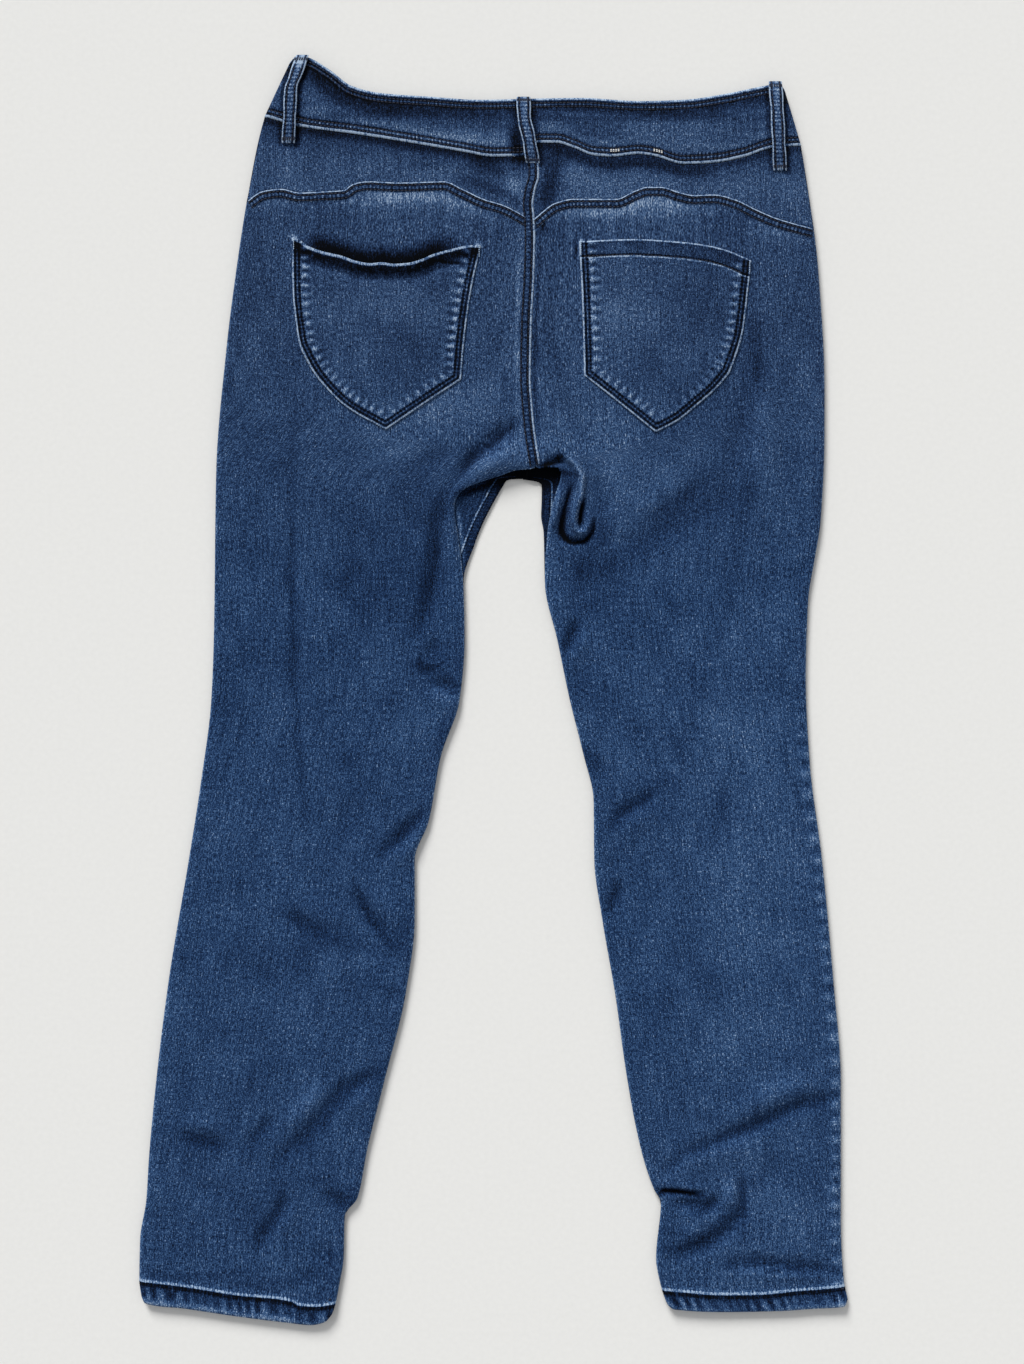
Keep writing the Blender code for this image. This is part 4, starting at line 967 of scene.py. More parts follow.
def crease_wear_and_shade(folds):
    """Painted shade in the troughs, and paler ridges, which are partly rubbed wear and partly painted
    light.
    """
    return np.where(folds > 0, CREASE_PALE, CREASE_DARK) * folds.clip(-4.5, 4)


def mouth_shade(x, y):
    """Painted shade in the gap under the sagging mouth of the left pocket, over cloth that has also
    kept more of its dye.
    """
    above = y - left_pocket_mouth(x)
    inside = ease(-152, -136, x) * ease(-22, -50, x)
    return 0.62 * inside * np.exp(-(np.maximum(above - 3, 0) / 7.0) ** 2) * ease(-14, -8, above)


def front_leg(name, sections, side, hem, toward, material):
    """A front leg, plain because it lies under the back and shows only at the crotch."""
    waist_y = WAIST_LEFT_Y if toward > 0 else WAIST_RIGHT_Y
    curled = [APART_EDGE_Z if APART[0] < section.outer_y < APART[1] else SEAM_BACK - GAP
              for section in sections]
    curled[CROTCH_SECTION] = CROTCH_LAP[toward]
    waist = sections[0]._replace(outer_y=waist_y, front_x=CENTRE_FRONT_X,
                                 front_y=float(front_waist_seam(CENTRE_FRONT_X)))
    leg = Leg((waist,) + sections, side, *hem)
    curl = Curve(list(zip(leg.down, [curled[0]] + curled)))

    def inner(at):
        return leg.read["front_x"](at) - toward * GAP / 2, leg.read["front_y"](at)

    grid = leg_grid(leg, FRONT_MESH, inner, front_waist_seam)
    x, y, down = grid.x, grid.y, grid.down
    z = (side_seam_height(leg.outer(down)[1])[:, None] - GAP) * (1 - grid.outer_rise)
    z = z + curl(down)[:, None] * (1 - grid.inner_rise)
    # Painted shade over the whole front, and near-black painted shadow under the seat at the crotch.
    fade = worn(x, y) - FRONT_SHADE - CROTCH_SHADOW * ease(152, 170, y) * bump(x, 28, 24)
    fields = {"hem": grid.above_hem * MM, "across": grid.from_inner * MM, "fade": fade,
              "along": down[:, None] * MM}
    cut_cloth(name, FRONT_LEG, np.dstack((x, y, z)), leg_uv(grid), fields, material,
              False)


# ---- strips between two curves: yokes and waistbands -----------------------------------
def strip(upper, lower, ends, rolls, mesh, height, rim):
    """Places of a band's points. ends gives the x of its corners: upper left and right,
    lower left and right. rolls tells whether its left and right ends are rolled over.
    Returns the points, their pattern's place, how far up they are and the band's depth."""
    up_left, up_right, low_left, low_right = ends
    rows, columns = (int(count / QUICK) for count in mesh)
    across = columns_across(low_right - low_left, *rolls, even(columns))
    insets, left_rise, right_rise = (part[0][None] for part in across)
    share = insets / (low_right - low_left)
    level = np.linspace(0, 1, rows)[:, None]
    x_up, x_low = mix(up_left, up_right, share), mix(low_left, low_right, share)
    y_up, y_low = upper(x_up) - SLOPING_HALF_GAP, lower(x_low) + SLOPING_HALF_GAP
    x, y = mix(x_low, x_up, level), mix(y_low, y_up, level)
    depth = (y_up - y_low) + 0 * y
    z = height(x, y, level * depth, depth)
    z = z - (z - rim(y)) * (2 - left_rise - right_rise)
    return np.dstack((x, y, z)), np.dstack((x, y)), level * depth, depth


def yoke(name, seam, ends, rolls, material):
    """A yoke, with painted shadow below the waistband's edge and beside the belt loops."""
    def height(x, y, up, depth):
        ripple = 0.15 * unevenness(x, y, 30, 22, 8.1)
        return back_top(x, y) + fold_height(x, y) + ripple * ease(0, 8, up) * ease(0, 8, depth - up)

    points, uv, up, depth = strip(waist_seam, seam, ends, rolls, YOKE_MESH, height,
                                  side_seam_height)
    x, y = points[..., 0], points[..., 1]
    deep = mix(0.32, 0.20, ease(40, 70, x))
    shade = deep * ease(8, 0, depth - up) + 0.09 * ease(24, 4, depth - up) + loop_shade(x, y)
    fade = worn(x, y) - shade + crease_wear_and_shade(fold_height(x, y)) + 0.02
    cut_cloth(name, YOKE, points, uv, {"fade": fade}, material)


def held_down(up, depth, width):
    """How much the waistband's four rows of stitches hold the cloth down."""
    low = sum(bump(up, row, width) for row in BAND_LOW_ROWS)
    return low + sum(bump(depth - up, row, width) for row in BAND_TOP_ROWS)


def band_height(x, y, up, depth):
    """The waistband's face, soft between the stitch rows that hold it down."""
    puffed = 0.55 * ease(BAND_LOW_ROWS[1], BAND_LOW_ROWS[1] + 8, up)
    puffed = puffed * ease(BAND_TOP_ROWS[1], BAND_TOP_ROWS[1] + 8, depth - up)
    ripple = 0.3 * unevenness(x, y, 34, 9, 2.3)
    edge = 0.5 * (ease(1.4, 0.0, up) + ease(1.4, 0.0, depth - up))
    return BAND_TOP + puffed * (1 + ripple) - 0.3 * held_down(up, depth, 0.9) - edge


def waistband_back(material):
    ends = (WAIST_TOP[0][0], WAIST_TOP[-1][0], side_left(WAIST_LEFT_Y), side_right(WAIST_RIGHT_Y))
    points, uv, up, depth = strip(waist_top, waist_seam, ends, (1.0, 1.0), BACK_BAND_MESH,
                                  band_height, lambda y: BAND_SEAM)
    x, y = points[..., 0], points[..., 1]
    streaks = unevenness(x, y, 60, 6, 5.5)
    # A paler lower third and streaks, painted shade in a soft valley under the upper rows, and painted
    # shadow beside the loops.
    fade = 0.05 * bump(up, 11.5, 4.5) + 0.09 * streaks - 0.05 * bump(depth - up, 12, 6) + worn(x, y)
    fade = fade - loop_shade(x, y)
    fields = {"across": up * MM, "hem": (depth - up) * MM, "fade": fade, "along": x * MM}
    cut_cloth("waistband_back", BACK_BAND, points, uv, fields, material)


def waistband_fronts(material):
    """The band's two ends, closed at the front. The right one lies on top of the left one."""
    meet_left = CENTRE_FRONT_X + BAND_OVERLAP / 2
    meet_right = CENTRE_FRONT_X - BAND_OVERLAP / 2
    over_left_end = FRONT_BAND_UNDER + FRONT_BAND_WALL + GAP
    slope = [meet_left + past for past in BAND_SLOPE]
    corner_left, corner_right = side_left(WAIST_LEFT_Y), side_right(WAIST_RIGHT_Y)
    for name, ends, rolls, start in (
            ("waistband_front_left", (WAIST_TOP[0][0], meet_left, corner_left, meet_left),
             (1.0, 0.0), FRONT_BAND_UNDER),
            ("waistband_front_right", (meet_right, WAIST_TOP[-1][0], meet_right, corner_right),
             (0.0, 1.0), over_left_end)):
        def height(x, y, up, depth):
            return mix(start, FRONT_BAND_UNDER, ease(*slope, x)) + 0.12 * held_down(up, depth, 1.0)

        points, uv, up, depth = strip(front_waist_top, front_waist_seam, ends, rolls,
                                      FRONT_BAND_MESH, height, lambda y: BAND_SEAM - GAP)
        fields = {"across": up * MM, "hem": (depth - up) * MM, "along": points[..., 0] * MM}
        cut_cloth(name, FRONT_BAND, points, uv, fields, material, False)


# ---- pockets ---------------------------------------------------------------------------
class PocketShape:
    """A five-sided patch: places inside it from two shares, and the distance to its edge."""

    def __init__(self, spec):
        self.spec = spec
        self.sides = {key: Path(getattr(spec, key))
                      for key in ("top", "left", "low_left", "low_right", "right")}

    def bottom(self, share):
        left = self.sides["low_left"](np.clip(share * 2, 0, 1))
        right = self.sides["low_right"](np.clip(share * 2 - 1, 0, 1))
        return tuple(np.where(share <= 0.5, a, b) for a, b in zip(left, right))

    def place(self, across, down):
        """Points blended between the four sides, for shares across and down."""
        above, below = self.sides["top"](across), self.bottom(across)
        start, end = self.sides["left"](down), self.sides["right"](down)
        corners = [side(np.array(at)) for side in (self.sides["top"], self.bottom)
                   for at in (0.0, 1.0)]
        point = []
        for axis in (0, 1):
            by_rows = mix(above[axis], below[axis], down)
            by_columns = mix(start[axis], end[axis], across)
            by_corners = mix(mix(corners[0][axis], corners[1][axis], across),
                             mix(corners[2][axis], corners[3][axis], across), down)
            point.append(by_rows + by_columns - by_corners)
        return point

    def outline(self, step=1.0):
        """The sewn edge as points: down the left side, round the point, up the right."""
        points = []
        for key, backwards in (("left", False), ("low_left", False), ("low_right", False),
                               ("right", True)):
            side = self.sides[key]
            share = np.linspace(0, 1, max(2, int(side.length / step)))
            share = share[::-1] if backwards else share
            points.append(np.column_stack(side(share)))
        return np.vstack(points)

    def edge_distance(self, x, y):
        """Distance to the sewn edge and how far along it the nearest place is."""
        outline = self.outline()
        near, along = np.full(x.shape, FAR), np.zeros(x.shape)
        for (px, py), mark in zip(outline, lengths_along(outline)):
            away = np.hypot(x - px, y - py)
            closer = away < near
            near, along = np.where(closer, away, near), np.where(closer, mark, along)
        return near, along

    def top_distance(self, x, y):
        top = np.column_stack(self.sides["top"](np.linspace(0, 1, 120)))
        return np.min([np.hypot(x - px, y - py) for px, py in top], axis=0)


def crowded(count):
    """Shares from 0 to 1 that stand closer together near both ends."""
    return np.interp(np.linspace(0, 1, count), (0, 0.18, 0.82, 1), (0, 0.08, 0.92, 1))


def pocket_height(shape, across, down, near, along, from_top):
    """Height of the pocket's face, and the ripples that its stitching draws up."""
    mouth = np.sin(math.pi * across) * (1 - ease(0, MOUTH_SHARE, down))
    gape = shape.spec.gape
    held = sum(bump(near, row, 0.8) for row in POCKET_ROWS)
    wave = drifting_wave(along, PUCKER_PITCH, (1.3, 23.0, 0.0))
    uneven = 1.0 + 0.15 * np.sin(along / 11.0) - 0.6 * bump(along, 215, 34)
    ripple = uneven * (0.3 + wave) * bump(near, 10.0, 3.8) * ease(6.4, 8.0, near)
    belly = 0.5 * ease(5, 30, near)
    hem = -0.35 * bump(from_top, POCKET_HEM_ROW, 1.0)
    z = POCKET_TOP + gape * mouth - 0.35 * held + 0.42 * ripple + belly + hem
    z = z - 1.3 * (gape > 1) * np.sin(math.pi * across) * bump(from_top, 11.0, 5.0)
    return z - 0.45 * ease(1.2, 0.0, near) - 0.3 * ease(1.2, 0.0, from_top), ripple


def pocket(spec, material):
    """A patch pocket with pale crests on its ripples and a worn place below its mouth."""
    shape = PocketShape(spec)
    gaping = spec.gape > 1
    shares = crowded(int(POCKET_MESH / QUICK))
    across, down = np.meshgrid(shares, shares)
    x, y = shape.place(across, down)
    near, along = shape.edge_distance(x, y)
    from_top = shape.top_distance(x, y)
    z, ripple = pocket_height(shape, across, down, near, along, from_top)
    fade = (0.26 if gaping else 0.21) * ripple + worn(x, y)
    middle = Path(spec.top)(0.3)
    fade = fade + 0.05 * bump(x, middle[0], 34) * bump(y, middle[1] - 55, 50) - 0.02
    if not gaping:
        fade = fade + 0.13 * unevenness(x, y, 8, 24, 4.4) * bump(from_top, 5.5, 4.5)
    fields = {"across": near * MM, "hem": from_top * MM, "fade": fade, "along": along * MM}
    cut_cloth(spec.name, PATCH_POCKET, np.dstack((x, y, z)), np.dstack((x, y)), fields,
              material)
    return shape


def pocket_stitches(spec, shape, tree, tack_tree, settings):
    """Two rows round the pocket, one along its hem unless it gapes, and a tack at each corner."""
    outline = spaced(shape.outline(4.0))
    rows = [sewn(offset_line(outline, row), POCKET_TOP, -0.15) for row in POCKET_ROWS]
    if spec.gape < 1:
        hem = offset_line(spaced(spec.top), -POCKET_HEM_ROW)
        rows.append(sewn(hem[3:-3], POCKET_TOP, 0.2))
    stitches(spec.name + "_stitches", rows, tree, "denim_pocket", settings)
    tacks = []
    for (x, y), inward in ((spec.top[0], 1), (spec.top[-1], -1)):
        tacks.append(np.column_stack((np.full(5, x + 1.4 * inward), np.linspace(y - 9, y - 0.5, 5),
                                      np.full(5, POCKET_TOP + 0.35))))
    stitches(spec.name + "_tacks", tacks, tack_tree, "denim_pocket", settings, pitch=0.0017)


# ---- belt loops ------------------------------------------------------------------------
def loop_height(spec, x, y, share, side):
    carried = mix(SEAT_TOP, BAND_TOP + 0.5, ease(*LOOP_DROP, y - waist_seam(x)))
    rounded = -0.7 * np.abs(side) ** 5
    held = -0.25 * bump(np.abs(side), 0.52, 0.13)
    tucked = -0.6 * (ease(0.06, 0.0, share) + ease(0.95, 1.0, share))
    return carried + GAP + LOOP_WALL + spec.slack * np.sin(math.pi * share) + rounded + held + tucked


def loop_shares(rows, columns):
    """Shares along a belt loop, and across it from -1 to 1."""
    return np.meshgrid(np.linspace(0, 1, rows), np.linspace(-1, 1, columns), indexing="ij")


def belt_loop(spec, material):
    line = Path(spec.line)
    share, side = loop_shares(int(LOOP_MESH[0] / QUICK), LOOP_MESH[1])
    x, y = line(share)
    waver = 0.25 * np.sin(share * 17 + spec.half_width)
    x = x + (spec.half_width + waver) * side
    z = loop_height(spec, x, y, share, side)
    from_edge = spec.half_width * (1 - np.abs(side))
    tacks = spec.worn_top * bump(share, 0.07, 0.06) + 0.36 * bump(share, 0.99, 0.022)
    fields = {"across": from_edge * MM, "fade": tacks + 0.02, "along": share * line.length * MM}
    uv = np.dstack((spec.half_width * side, -share * line.length))
    cut = Cut("denim_loop", LOOP_WALL, 2.05 * spec.half_width, line.length + 1)
    cut_cloth(spec.name, cut, np.dstack((x, y, z)), uv, fields, material)


def loop_sewing(spec, share, side, lift):
    """Points on a belt loop at shares along it and sides across it."""
    x, y = Path(spec.line)(share)
    x = x + spec.half_width * side
    return np.column_stack((x, y, loop_height(spec, x, y, share, side) + lift))


def loop_rows(spec):
    share = np.linspace(0.03, 0.97, 60)
    return [loop_sewing(spec, share, np.full(60, side), 0.05) for side in (-0.55, 0.55)]


def loop_tacks(spec):
    """Dense stitches across both ends."""
    side = np.linspace(-0.85, 0.85, 12)
    return [loop_sewing(spec, np.full(12, end + step), side, 0.1)
            for end in (0.05, 0.955) for step in np.linspace(-0.012, 0.012, 4)]


def front_belt_loop(name, centre_x, material):
    low = front_waist_seam(centre_x) + 3.0
    high = front_waist_top(centre_x) - 2.0
    share, side = loop_shares(*FRONT_LOOP_MESH)
    x = centre_x + FRONT_LOOP_HALF_WIDTH * side
    y = mix(low, high, share)
    z = FRONT_LOOP_CURL * np.abs(side) ** 5
    fields = {"across": FRONT_LOOP_HALF_WIDTH * (1 - np.abs(side)) * MM}
    wall = FRONT_BAND_UNDER - GAP - FRONT_LOOP_CURL
    cut = Cut("denim_loop", wall, FRONT_LOOP_CUT_WIDTH, high - low + 1)
    cut_cloth(name, cut, np.dstack((x, y, z)), np.dstack((x, y)), fields, material,
              False)


# ---- felled seams: a folded edge sewn down with two rows -------------------------------
def offset_line(points, distance):
    """The line moved sideways, to the left of its direction where distance is positive."""
    run = np.gradient(points, axis=0)
    run /= np.linalg.norm(run, axis=1)[:, None]
    return points + distance * np.column_stack((-run[:, 1], run[:, 0]))


def fell(name, line, width, lift, seed, material, slot):
    """A ribbon on the seat, from the folded edge at line to width on its left, with the
    table's section stretched to that width."""
    section = np.array(FELL_SECTION)
    across = section[:, 0] / section[-1, 0] * width
    places = np.stack([offset_line(line, distance) for distance in across], axis=1)
    x, y = places[..., 0], places[..., 1]
    marks = lengths_along(line)
    wave = drifting_wave(marks, FELL_PUCKER_PITCH, (2.0, 17.0, seed))[:, None]
    ripple = 0.14 * wave * bump(across, width * 0.55, width * 0.3)[None]
    z = seat_height(x, y) + lift * section[:, 1][None] + ripple
    inward, along = across[None] + 0 * x, marks[:, None] + 0 * x
    fade = 0.06 * wave * bump(inward, width * 0.55, width * 0.25)
    fields = {"across": inward * MM, "fade": fade, "along": along * MM}
    piece = cloth(name, np.dstack((x, y, z)), np.dstack((inward, along)), fields, FELL_WALL,
                  material)
    settle(piece, None, slot)


def spaced(points, step=1.5):
    """The same line in even steps."""
    path = Path(points)
    return np.column_stack(path(np.linspace(0, 1, int(path.length / step))))


def along_curve(curve, start, end, up=0.0, step=1.5):
    """The curve from one x to another in even steps, moved up."""
    x = np.linspace(start, end, int(abs(end - start) / step))
    return np.column_stack((x, curve(x))) + np.array((0.0, up))


# ---- stitching by Geometry Nodes -------------------------------------------------------
def stitch_tree(material):
    """Lays stitches of a given length and thread width along every line of its mesh."""
    tree = bpy.data.node_groups.new("stitching", "GeometryNodeTree")
    face = tree.interface
    face.new_socket(name="Lines", in_out="INPUT", socket_type="NodeSocketGeometry")
    for name in ("Pitch", "Length", "Thread"):
        face.new_socket(name=name, in_out="INPUT", socket_type="NodeSocketFloat")
    face.new_socket(name="Stitches", in_out="OUTPUT", socket_type="NodeSocketGeometry")
    start = add(tree, "NodeGroupInput")
    curve = add(tree, "GeometryNodeMeshToCurve", {"Mesh": start.outputs["Lines"]})
    even_points = add(tree, "GeometryNodeResampleCurve",
                      {"Curve": curve.outputs[0], "Length": start.outputs["Pitch"]}, mode="LENGTH")
    bead = add(tree, "GeometryNodeMeshUVSphere", {"Segments": 6, "Rings": 5, "Radius": 0.5})
    half = add(tree, "ShaderNodeMath", {0: start.outputs["Thread"], 1: 0.75}, operation="MULTIPLY")
    size = add(tree, "ShaderNodeCombineXYZ",
               {"X": start.outputs["Length"], "Y": start.outputs["Thread"], "Z": half.outputs[0]})
    smooth = add(tree, "GeometryNodeSetShadeSmooth", {"Geometry": bead.outputs[0]})
    shaped = add(tree, "GeometryNodeTransform",
                 {"Geometry": smooth.outputs[0], "Scale": size.outputs[0]})
    tangent = add(tree, "GeometryNodeInputTangent")
    turn = add(tree, "FunctionNodeAlignRotationToVector", {"Vector": tangent.outputs[0]}, axis="X")
    laid = add(tree, "GeometryNodeInstanceOnPoints",
               {"Points": even_points.outputs[0], "Instance": shaped.outputs[0],
                "Rotation": turn.outputs[0]})
    real = add(tree, "GeometryNodeRealizeInstances", {"Geometry": laid.outputs[0]})
    coloured = add(tree, "GeometryNodeSetMaterial",
                   {"Geometry": real.outputs[0], "Material": material})
    add(tree, "NodeGroupOutput", {"Stitches": coloured.outputs[0]})
    return tree


def stitches(name, lines, tree, slot, settings, pitch=None):
    """lines are lists of (x, y, z) in millimetres, each sewn from end to end."""
    mesh = bpy.data.meshes.new(name + "_lines")
    vertices, edges = [], []
    for line in lines:
        first = len(vertices)
        vertices += [tuple(point) for point in np.asarray(line) * MM]
        edges += [(i, i + 1) for i in range(first, len(vertices) - 1)]
    mesh.from_pydata(vertices, edges, [])
    guide = link(bpy.data.objects.new(name + "_guide", mesh))
    sewing = guide.modifiers.new("stitching", "NODES")
    sewing.node_group = tree
    sockets = {item.name: item.identifier for item in tree.interface.items_tree
               if item.in_out == "INPUT"}
    pitch = pitch or settings.stitch_pitch
    for key, value in (("Pitch", pitch), ("Length", pitch * STITCH_FILL),
                       ("Thread", settings.thread_width)):
        sewing[sockets[key]] = value
    shape = guide.evaluated_get(bpy.context.evaluated_depsgraph_get())
    made = bpy.data.meshes.new_from_object(shape)
    made.name = name
    bpy.data.objects.remove(guide)
    settle(link(bpy.data.objects.new(name, made)), None, slot)


def sewn(line, height, lift=0.0):
    """Points of a row of stitches on a surface: a level, or height(x, y)."""
    z = height(line[:, 0], line[:, 1]) if callable(height) else np.full(len(line), height)
    return np.column_stack((line, z + lift))


def felled_seams(tree, settings):
    """The yokes' seams, the seat's over both of them, and two rows of stitches on each."""
    rows = []
    for name, line, width, lift, spacing, seed, material, slot in (
            ("yoke_seam_left", along_curve(yoke_seam_left, 26.5, -196.5, up=0.6),
             YOKE_FELL_WIDTH, FELL_LIFT, FELL_ROWS, 0.4, "fell", "denim_yoke"),
            ("yoke_seam_right", along_curve(yoke_seam_right, 255.5, 31.6, up=0.6),
             YOKE_FELL_WIDTH, FELL_LIFT, FELL_ROWS, 2.1, "fell", "denim_yoke"),
            ("seat_seam", spaced(SEAT_FELL)[::-1],
             SEAT_FELL_WIDTH, SEAT_FELL_LIFT, SEAT_ROWS, 1.2, "seat_fell", "denim_leg")):
        fell(name, line, width, lift, seed, MATERIALS[material], slot)
        rows += [sewn(offset_line(line, row), seat_height, lift * 0.72) for row in spacing]
    stitches("seam_stitches", rows, tree, "denim_leg", settings)


def band_stitches(tree, settings):
    """Two rows along each edge of the back waistband."""
    rows = []
    x = np.linspace(-180, 244, 300)
    for row in BAND_LOW_ROWS:
        line = np.column_stack((x, waist_seam(x) + row + SLOPING_HALF_GAP))
        rows.append(sewn(line[2:-2], BAND_TOP, -0.15))
    x = np.linspace(-158, 229, 280)
    for row in BAND_TOP_ROWS:
        line = np.column_stack((x, waist_top(x) - row - SLOPING_HALF_GAP))
        rows.append(sewn(line, BAND_TOP, -0.15))
    stitches("waistband_stitches", rows, tree, "denim_waistband", settings)


def hem_stitches(tree, settings):
    rows = [sewn(along_curve(Curve(hem), start, end, up=14.6), LEG_TOP, 0.3)
            for hem, start, end in ((HEM_LEFT, -277, -131), (HEM_RIGHT, 140, 279))]
    stitches("hem_stitches", rows, tree, "denim_leg", settings, pitch=0.0036)


def band_tacks(tree, settings):
    """Two short pairs of pale stitches over the back waistband's lower rows."""
    tacks = []
    for centre_x in (97.0, 131.5):
        x = np.linspace(centre_x - 3.0, centre_x + 3.0, 6)
        tacks += [sewn(np.column_stack((x, waist_seam(x) + up)), BAND_TOP, 0.35)
                  for up in (4.4, 5.6)]
    stitches("band_tacks", tacks, tree, "denim_waistband", settings, pitch=0.0018)


# ---- button ----------------------------------------------------------------------------
def waist_button(material):
    """The shank button's cap, turned face down."""
    outline = bmesh.new()
    points = [outline.verts.new((radius * MM, 0.0, z * MM)) for radius, z in BUTTON_PROFILE[::-1]]
    for one, two in zip(points, points[1:]):
        outline.edges.new((one, two))
    bmesh.ops.spin(outline, geom=outline.verts[:] + outline.edges[:], axis=(0, 0, 1),
                   cent=(0, 0, 0), steps=BUTTON_SIDES, angle=2 * math.pi)
    bmesh.ops.remove_doubles(outline, verts=outline.verts, dist=1e-6)
    bmesh.ops.recalc_face_normals(outline, faces=outline.faces)
    bmesh.ops.translate(outline, verts=outline.verts,
                        vec=(CENTRE_FRONT_X * MM, BUTTON_Y * MM, 0.0))
    mesh = bpy.data.meshes.new("shank_button")
    outline.to_mesh(mesh)
    outline.free()
    mesh.shade_smooth()
    mesh.materials.append(material)
    settle(link(bpy.data.objects.new("shank_button", mesh)), "waist_button", "button_metal")


# ---- materials -------------------------------------------------------------------------
def linear(colour):
    """sRGB hex to linear red, green, blue and alpha."""
    values = [int(colour[i:i + 2], 16) / 255 for i in (1, 3, 5)]
    return tuple(v / 12.92 if v <= 0.04045 else ((v + 0.055) / 1.055) ** 2.4 for v in values) + (1.0,)


def add(tree, kind, inputs=None, **settings):
    """One node with its settings, values and links."""
    made = tree.nodes.new(kind)
    for key, value in settings.items():
        setattr(made, key, value)
    for socket, source in (inputs or {}).items():
        target = made.inputs[socket]
        if isinstance(source, bpy.types.NodeSocket):
            tree.links.new(source, target)
        else:
            target.default_value = source
    return made


def brightened(colour, factor):
    return tuple(factor * part for part in linear(colour)[:3]) + (1.0,)


def new_material(name, values):
    """A material, its tree and its shader, with these values on the shader's sockets."""
    made = bpy.data.materials.new(name)
    made.use_nodes = True
    shader = made.node_tree.nodes["Principled BSDF"]
    for socket, value in values.items():
        shader.inputs[socket].default_value = value
    return made, made.node_tree, shader


def set_ramp(ramp, stops):
    """stops are (place, grey level or linear colour) rows."""
    elements = ramp.color_ramp.elements
    while len(elements) > 1:
        elements.remove(elements[-1])
    for index, (place, value) in enumerate(stops):
        element = elements[0] if index == 0 else elements.new(place)
        element.position = place
        element.color = value if isinstance(value, tuple) else (value, value, value, 1.0)


PROFILE_REACH = 20.0        # millimetres that a ramp of sewn lines covers
NEUTRAL = 0.5


def ramp_of_distance(tree, attribute, stops):
    """Values along the distance that an attribute holds, given as (millimetres, value) rows."""
    read = add(tree, "ShaderNodeAttribute", attribute_name=attribute)
    share = add(tree, "ShaderNodeMath", {0: read.outputs["Fac"], 1: 1 / (PROFILE_REACH * MM)},
                operation="MULTIPLY", use_clamp=True)
    ramp = add(tree, "ShaderNodeValToRGB", {"Fac": share.outputs[0]})
    set_ramp(ramp, [(place / PROFILE_REACH, value) for place, value in stops])
    return ramp.outputs[0]


def profile(tree, attribute, lines, rungs):
    """Paler and darker lines at set distances from an edge, around 0. Between and on the
    rows of stitches each stitch draws the cloth in, which gives rungs a stitch apart."""
    ramp = ramp_of_distance(tree, attribute, lines)
    level = add(tree, "ShaderNodeMath", {0: ramp, 1: NEUTRAL}, operation="SUBTRACT").outputs[0]
    if not rungs:
        return level
    along = add(tree, "ShaderNodeAttribute", attribute_name="along")
    turn = add(tree, "ShaderNodeMath", {0: along.outputs["Fac"], 1: 2 * math.pi / (STITCH * MM)},
               operation="MULTIPLY")
    wave = add(tree, "ShaderNodeMath", {0: turn.outputs[0]}, operation="SINE")
    strength = ramp_of_distance(tree, attribute, rungs)
    return add(tree, "ShaderNodeMath", {0: wave.outputs[0], 1: strength, 2: level},
               operation="MULTIPLY_ADD").outputs[0]


# What shows beside each kind of sewn edge: (millimetres in from the edge, level) rows for the
# pale and dark lines, and (millimetres, strength) rows for the rungs. The pale lines are rubbed
# folded edges; the dark ones are painted shade in the stitch grooves, below the waistband's
# upper rows and, on the gaping pocket, under its rolled mouth.
Sewing = namedtuple("Sewing", "lines rungs")
PLAIN = Sewing(None, None)
POCKET_EDGE = Sewing(
    ((0.0, 0.84), (0.3, 0.98), (1.1, 0.92), (1.5, 0.34), (1.8, 0.0), (3.1, 0.0), (3.4, 0.44),
     (4.5, 0.44), (4.8, 0.02), (6.1, 0.0), (6.6, 0.44), (7.4, 0.58), (12.0, 0.50)),
    ((0.0, 0.04), (1.6, 0.06), (3.4, 0.12), (4.6, 0.16), (6.4, 0.20), (7.4, 0.06), (9.0, 0.0)))
POCKET_MOUTH = Sewing(
    ((0.0, 0.80), (0.3, 0.94), (1.0, 0.86), (1.5, 0.36), (3.0, 0.38), (6.0, 0.45), (11.0, 0.42),
     (11.4, 0.0), (12.6, 0.0), (12.9, 0.60), (13.2, 0.88), (13.9, 0.84), (14.4, 0.5), (15.5, 0.5)),
    ((11.0, 0.0), (11.8, 0.12), (13.8, 0.14), (14.6, 0.0)))
POCKET_ROLL = Sewing(
    ((0.0, 0.72), (0.4, 0.90), (1.9, 0.92), (2.4, 0.40), (2.9, 0.0), (6.5, 0.0), (9.5, 0.26),
     (14.0, 0.50)),
    None)
BAND_LOW = Sewing(
    ((0.0, 0.80), (0.3, 0.97), (1.8, 0.94), (2.2, 0.34), (2.6, 0.0), (3.9, 0.0), (4.3, 0.48),
     (5.5, 0.48), (5.9, 0.0), (7.1, 0.0), (7.6, 0.42), (9.5, 0.55), (15.0, 0.50)),
    ((0.0, 0.05), (2.4, 0.03), (3.8, 0.05), (4.9, 0.24), (5.8, 0.06), (7.0, 0.04), (8.2, 0.09),
     (10.0, 0.0)))
BAND_UP = Sewing(
    ((0.0, 0.80), (0.3, 0.95), (1.3, 0.88), (1.8, 0.40), (2.6, 0.28), (2.9, 0.0), (4.2, 0.0),
     (4.7, 0.46), (5.6, 0.48), (6.1, 0.0), (7.3, 0.0), (8.4, 0.24), (13.0, 0.36), (19.0, 0.5)),
    ((2.4, 0.0), (4.2, 0.05), (5.1, 0.20), (6.0, 0.05), (7.4, 0.04), (8.4, 0.0)))
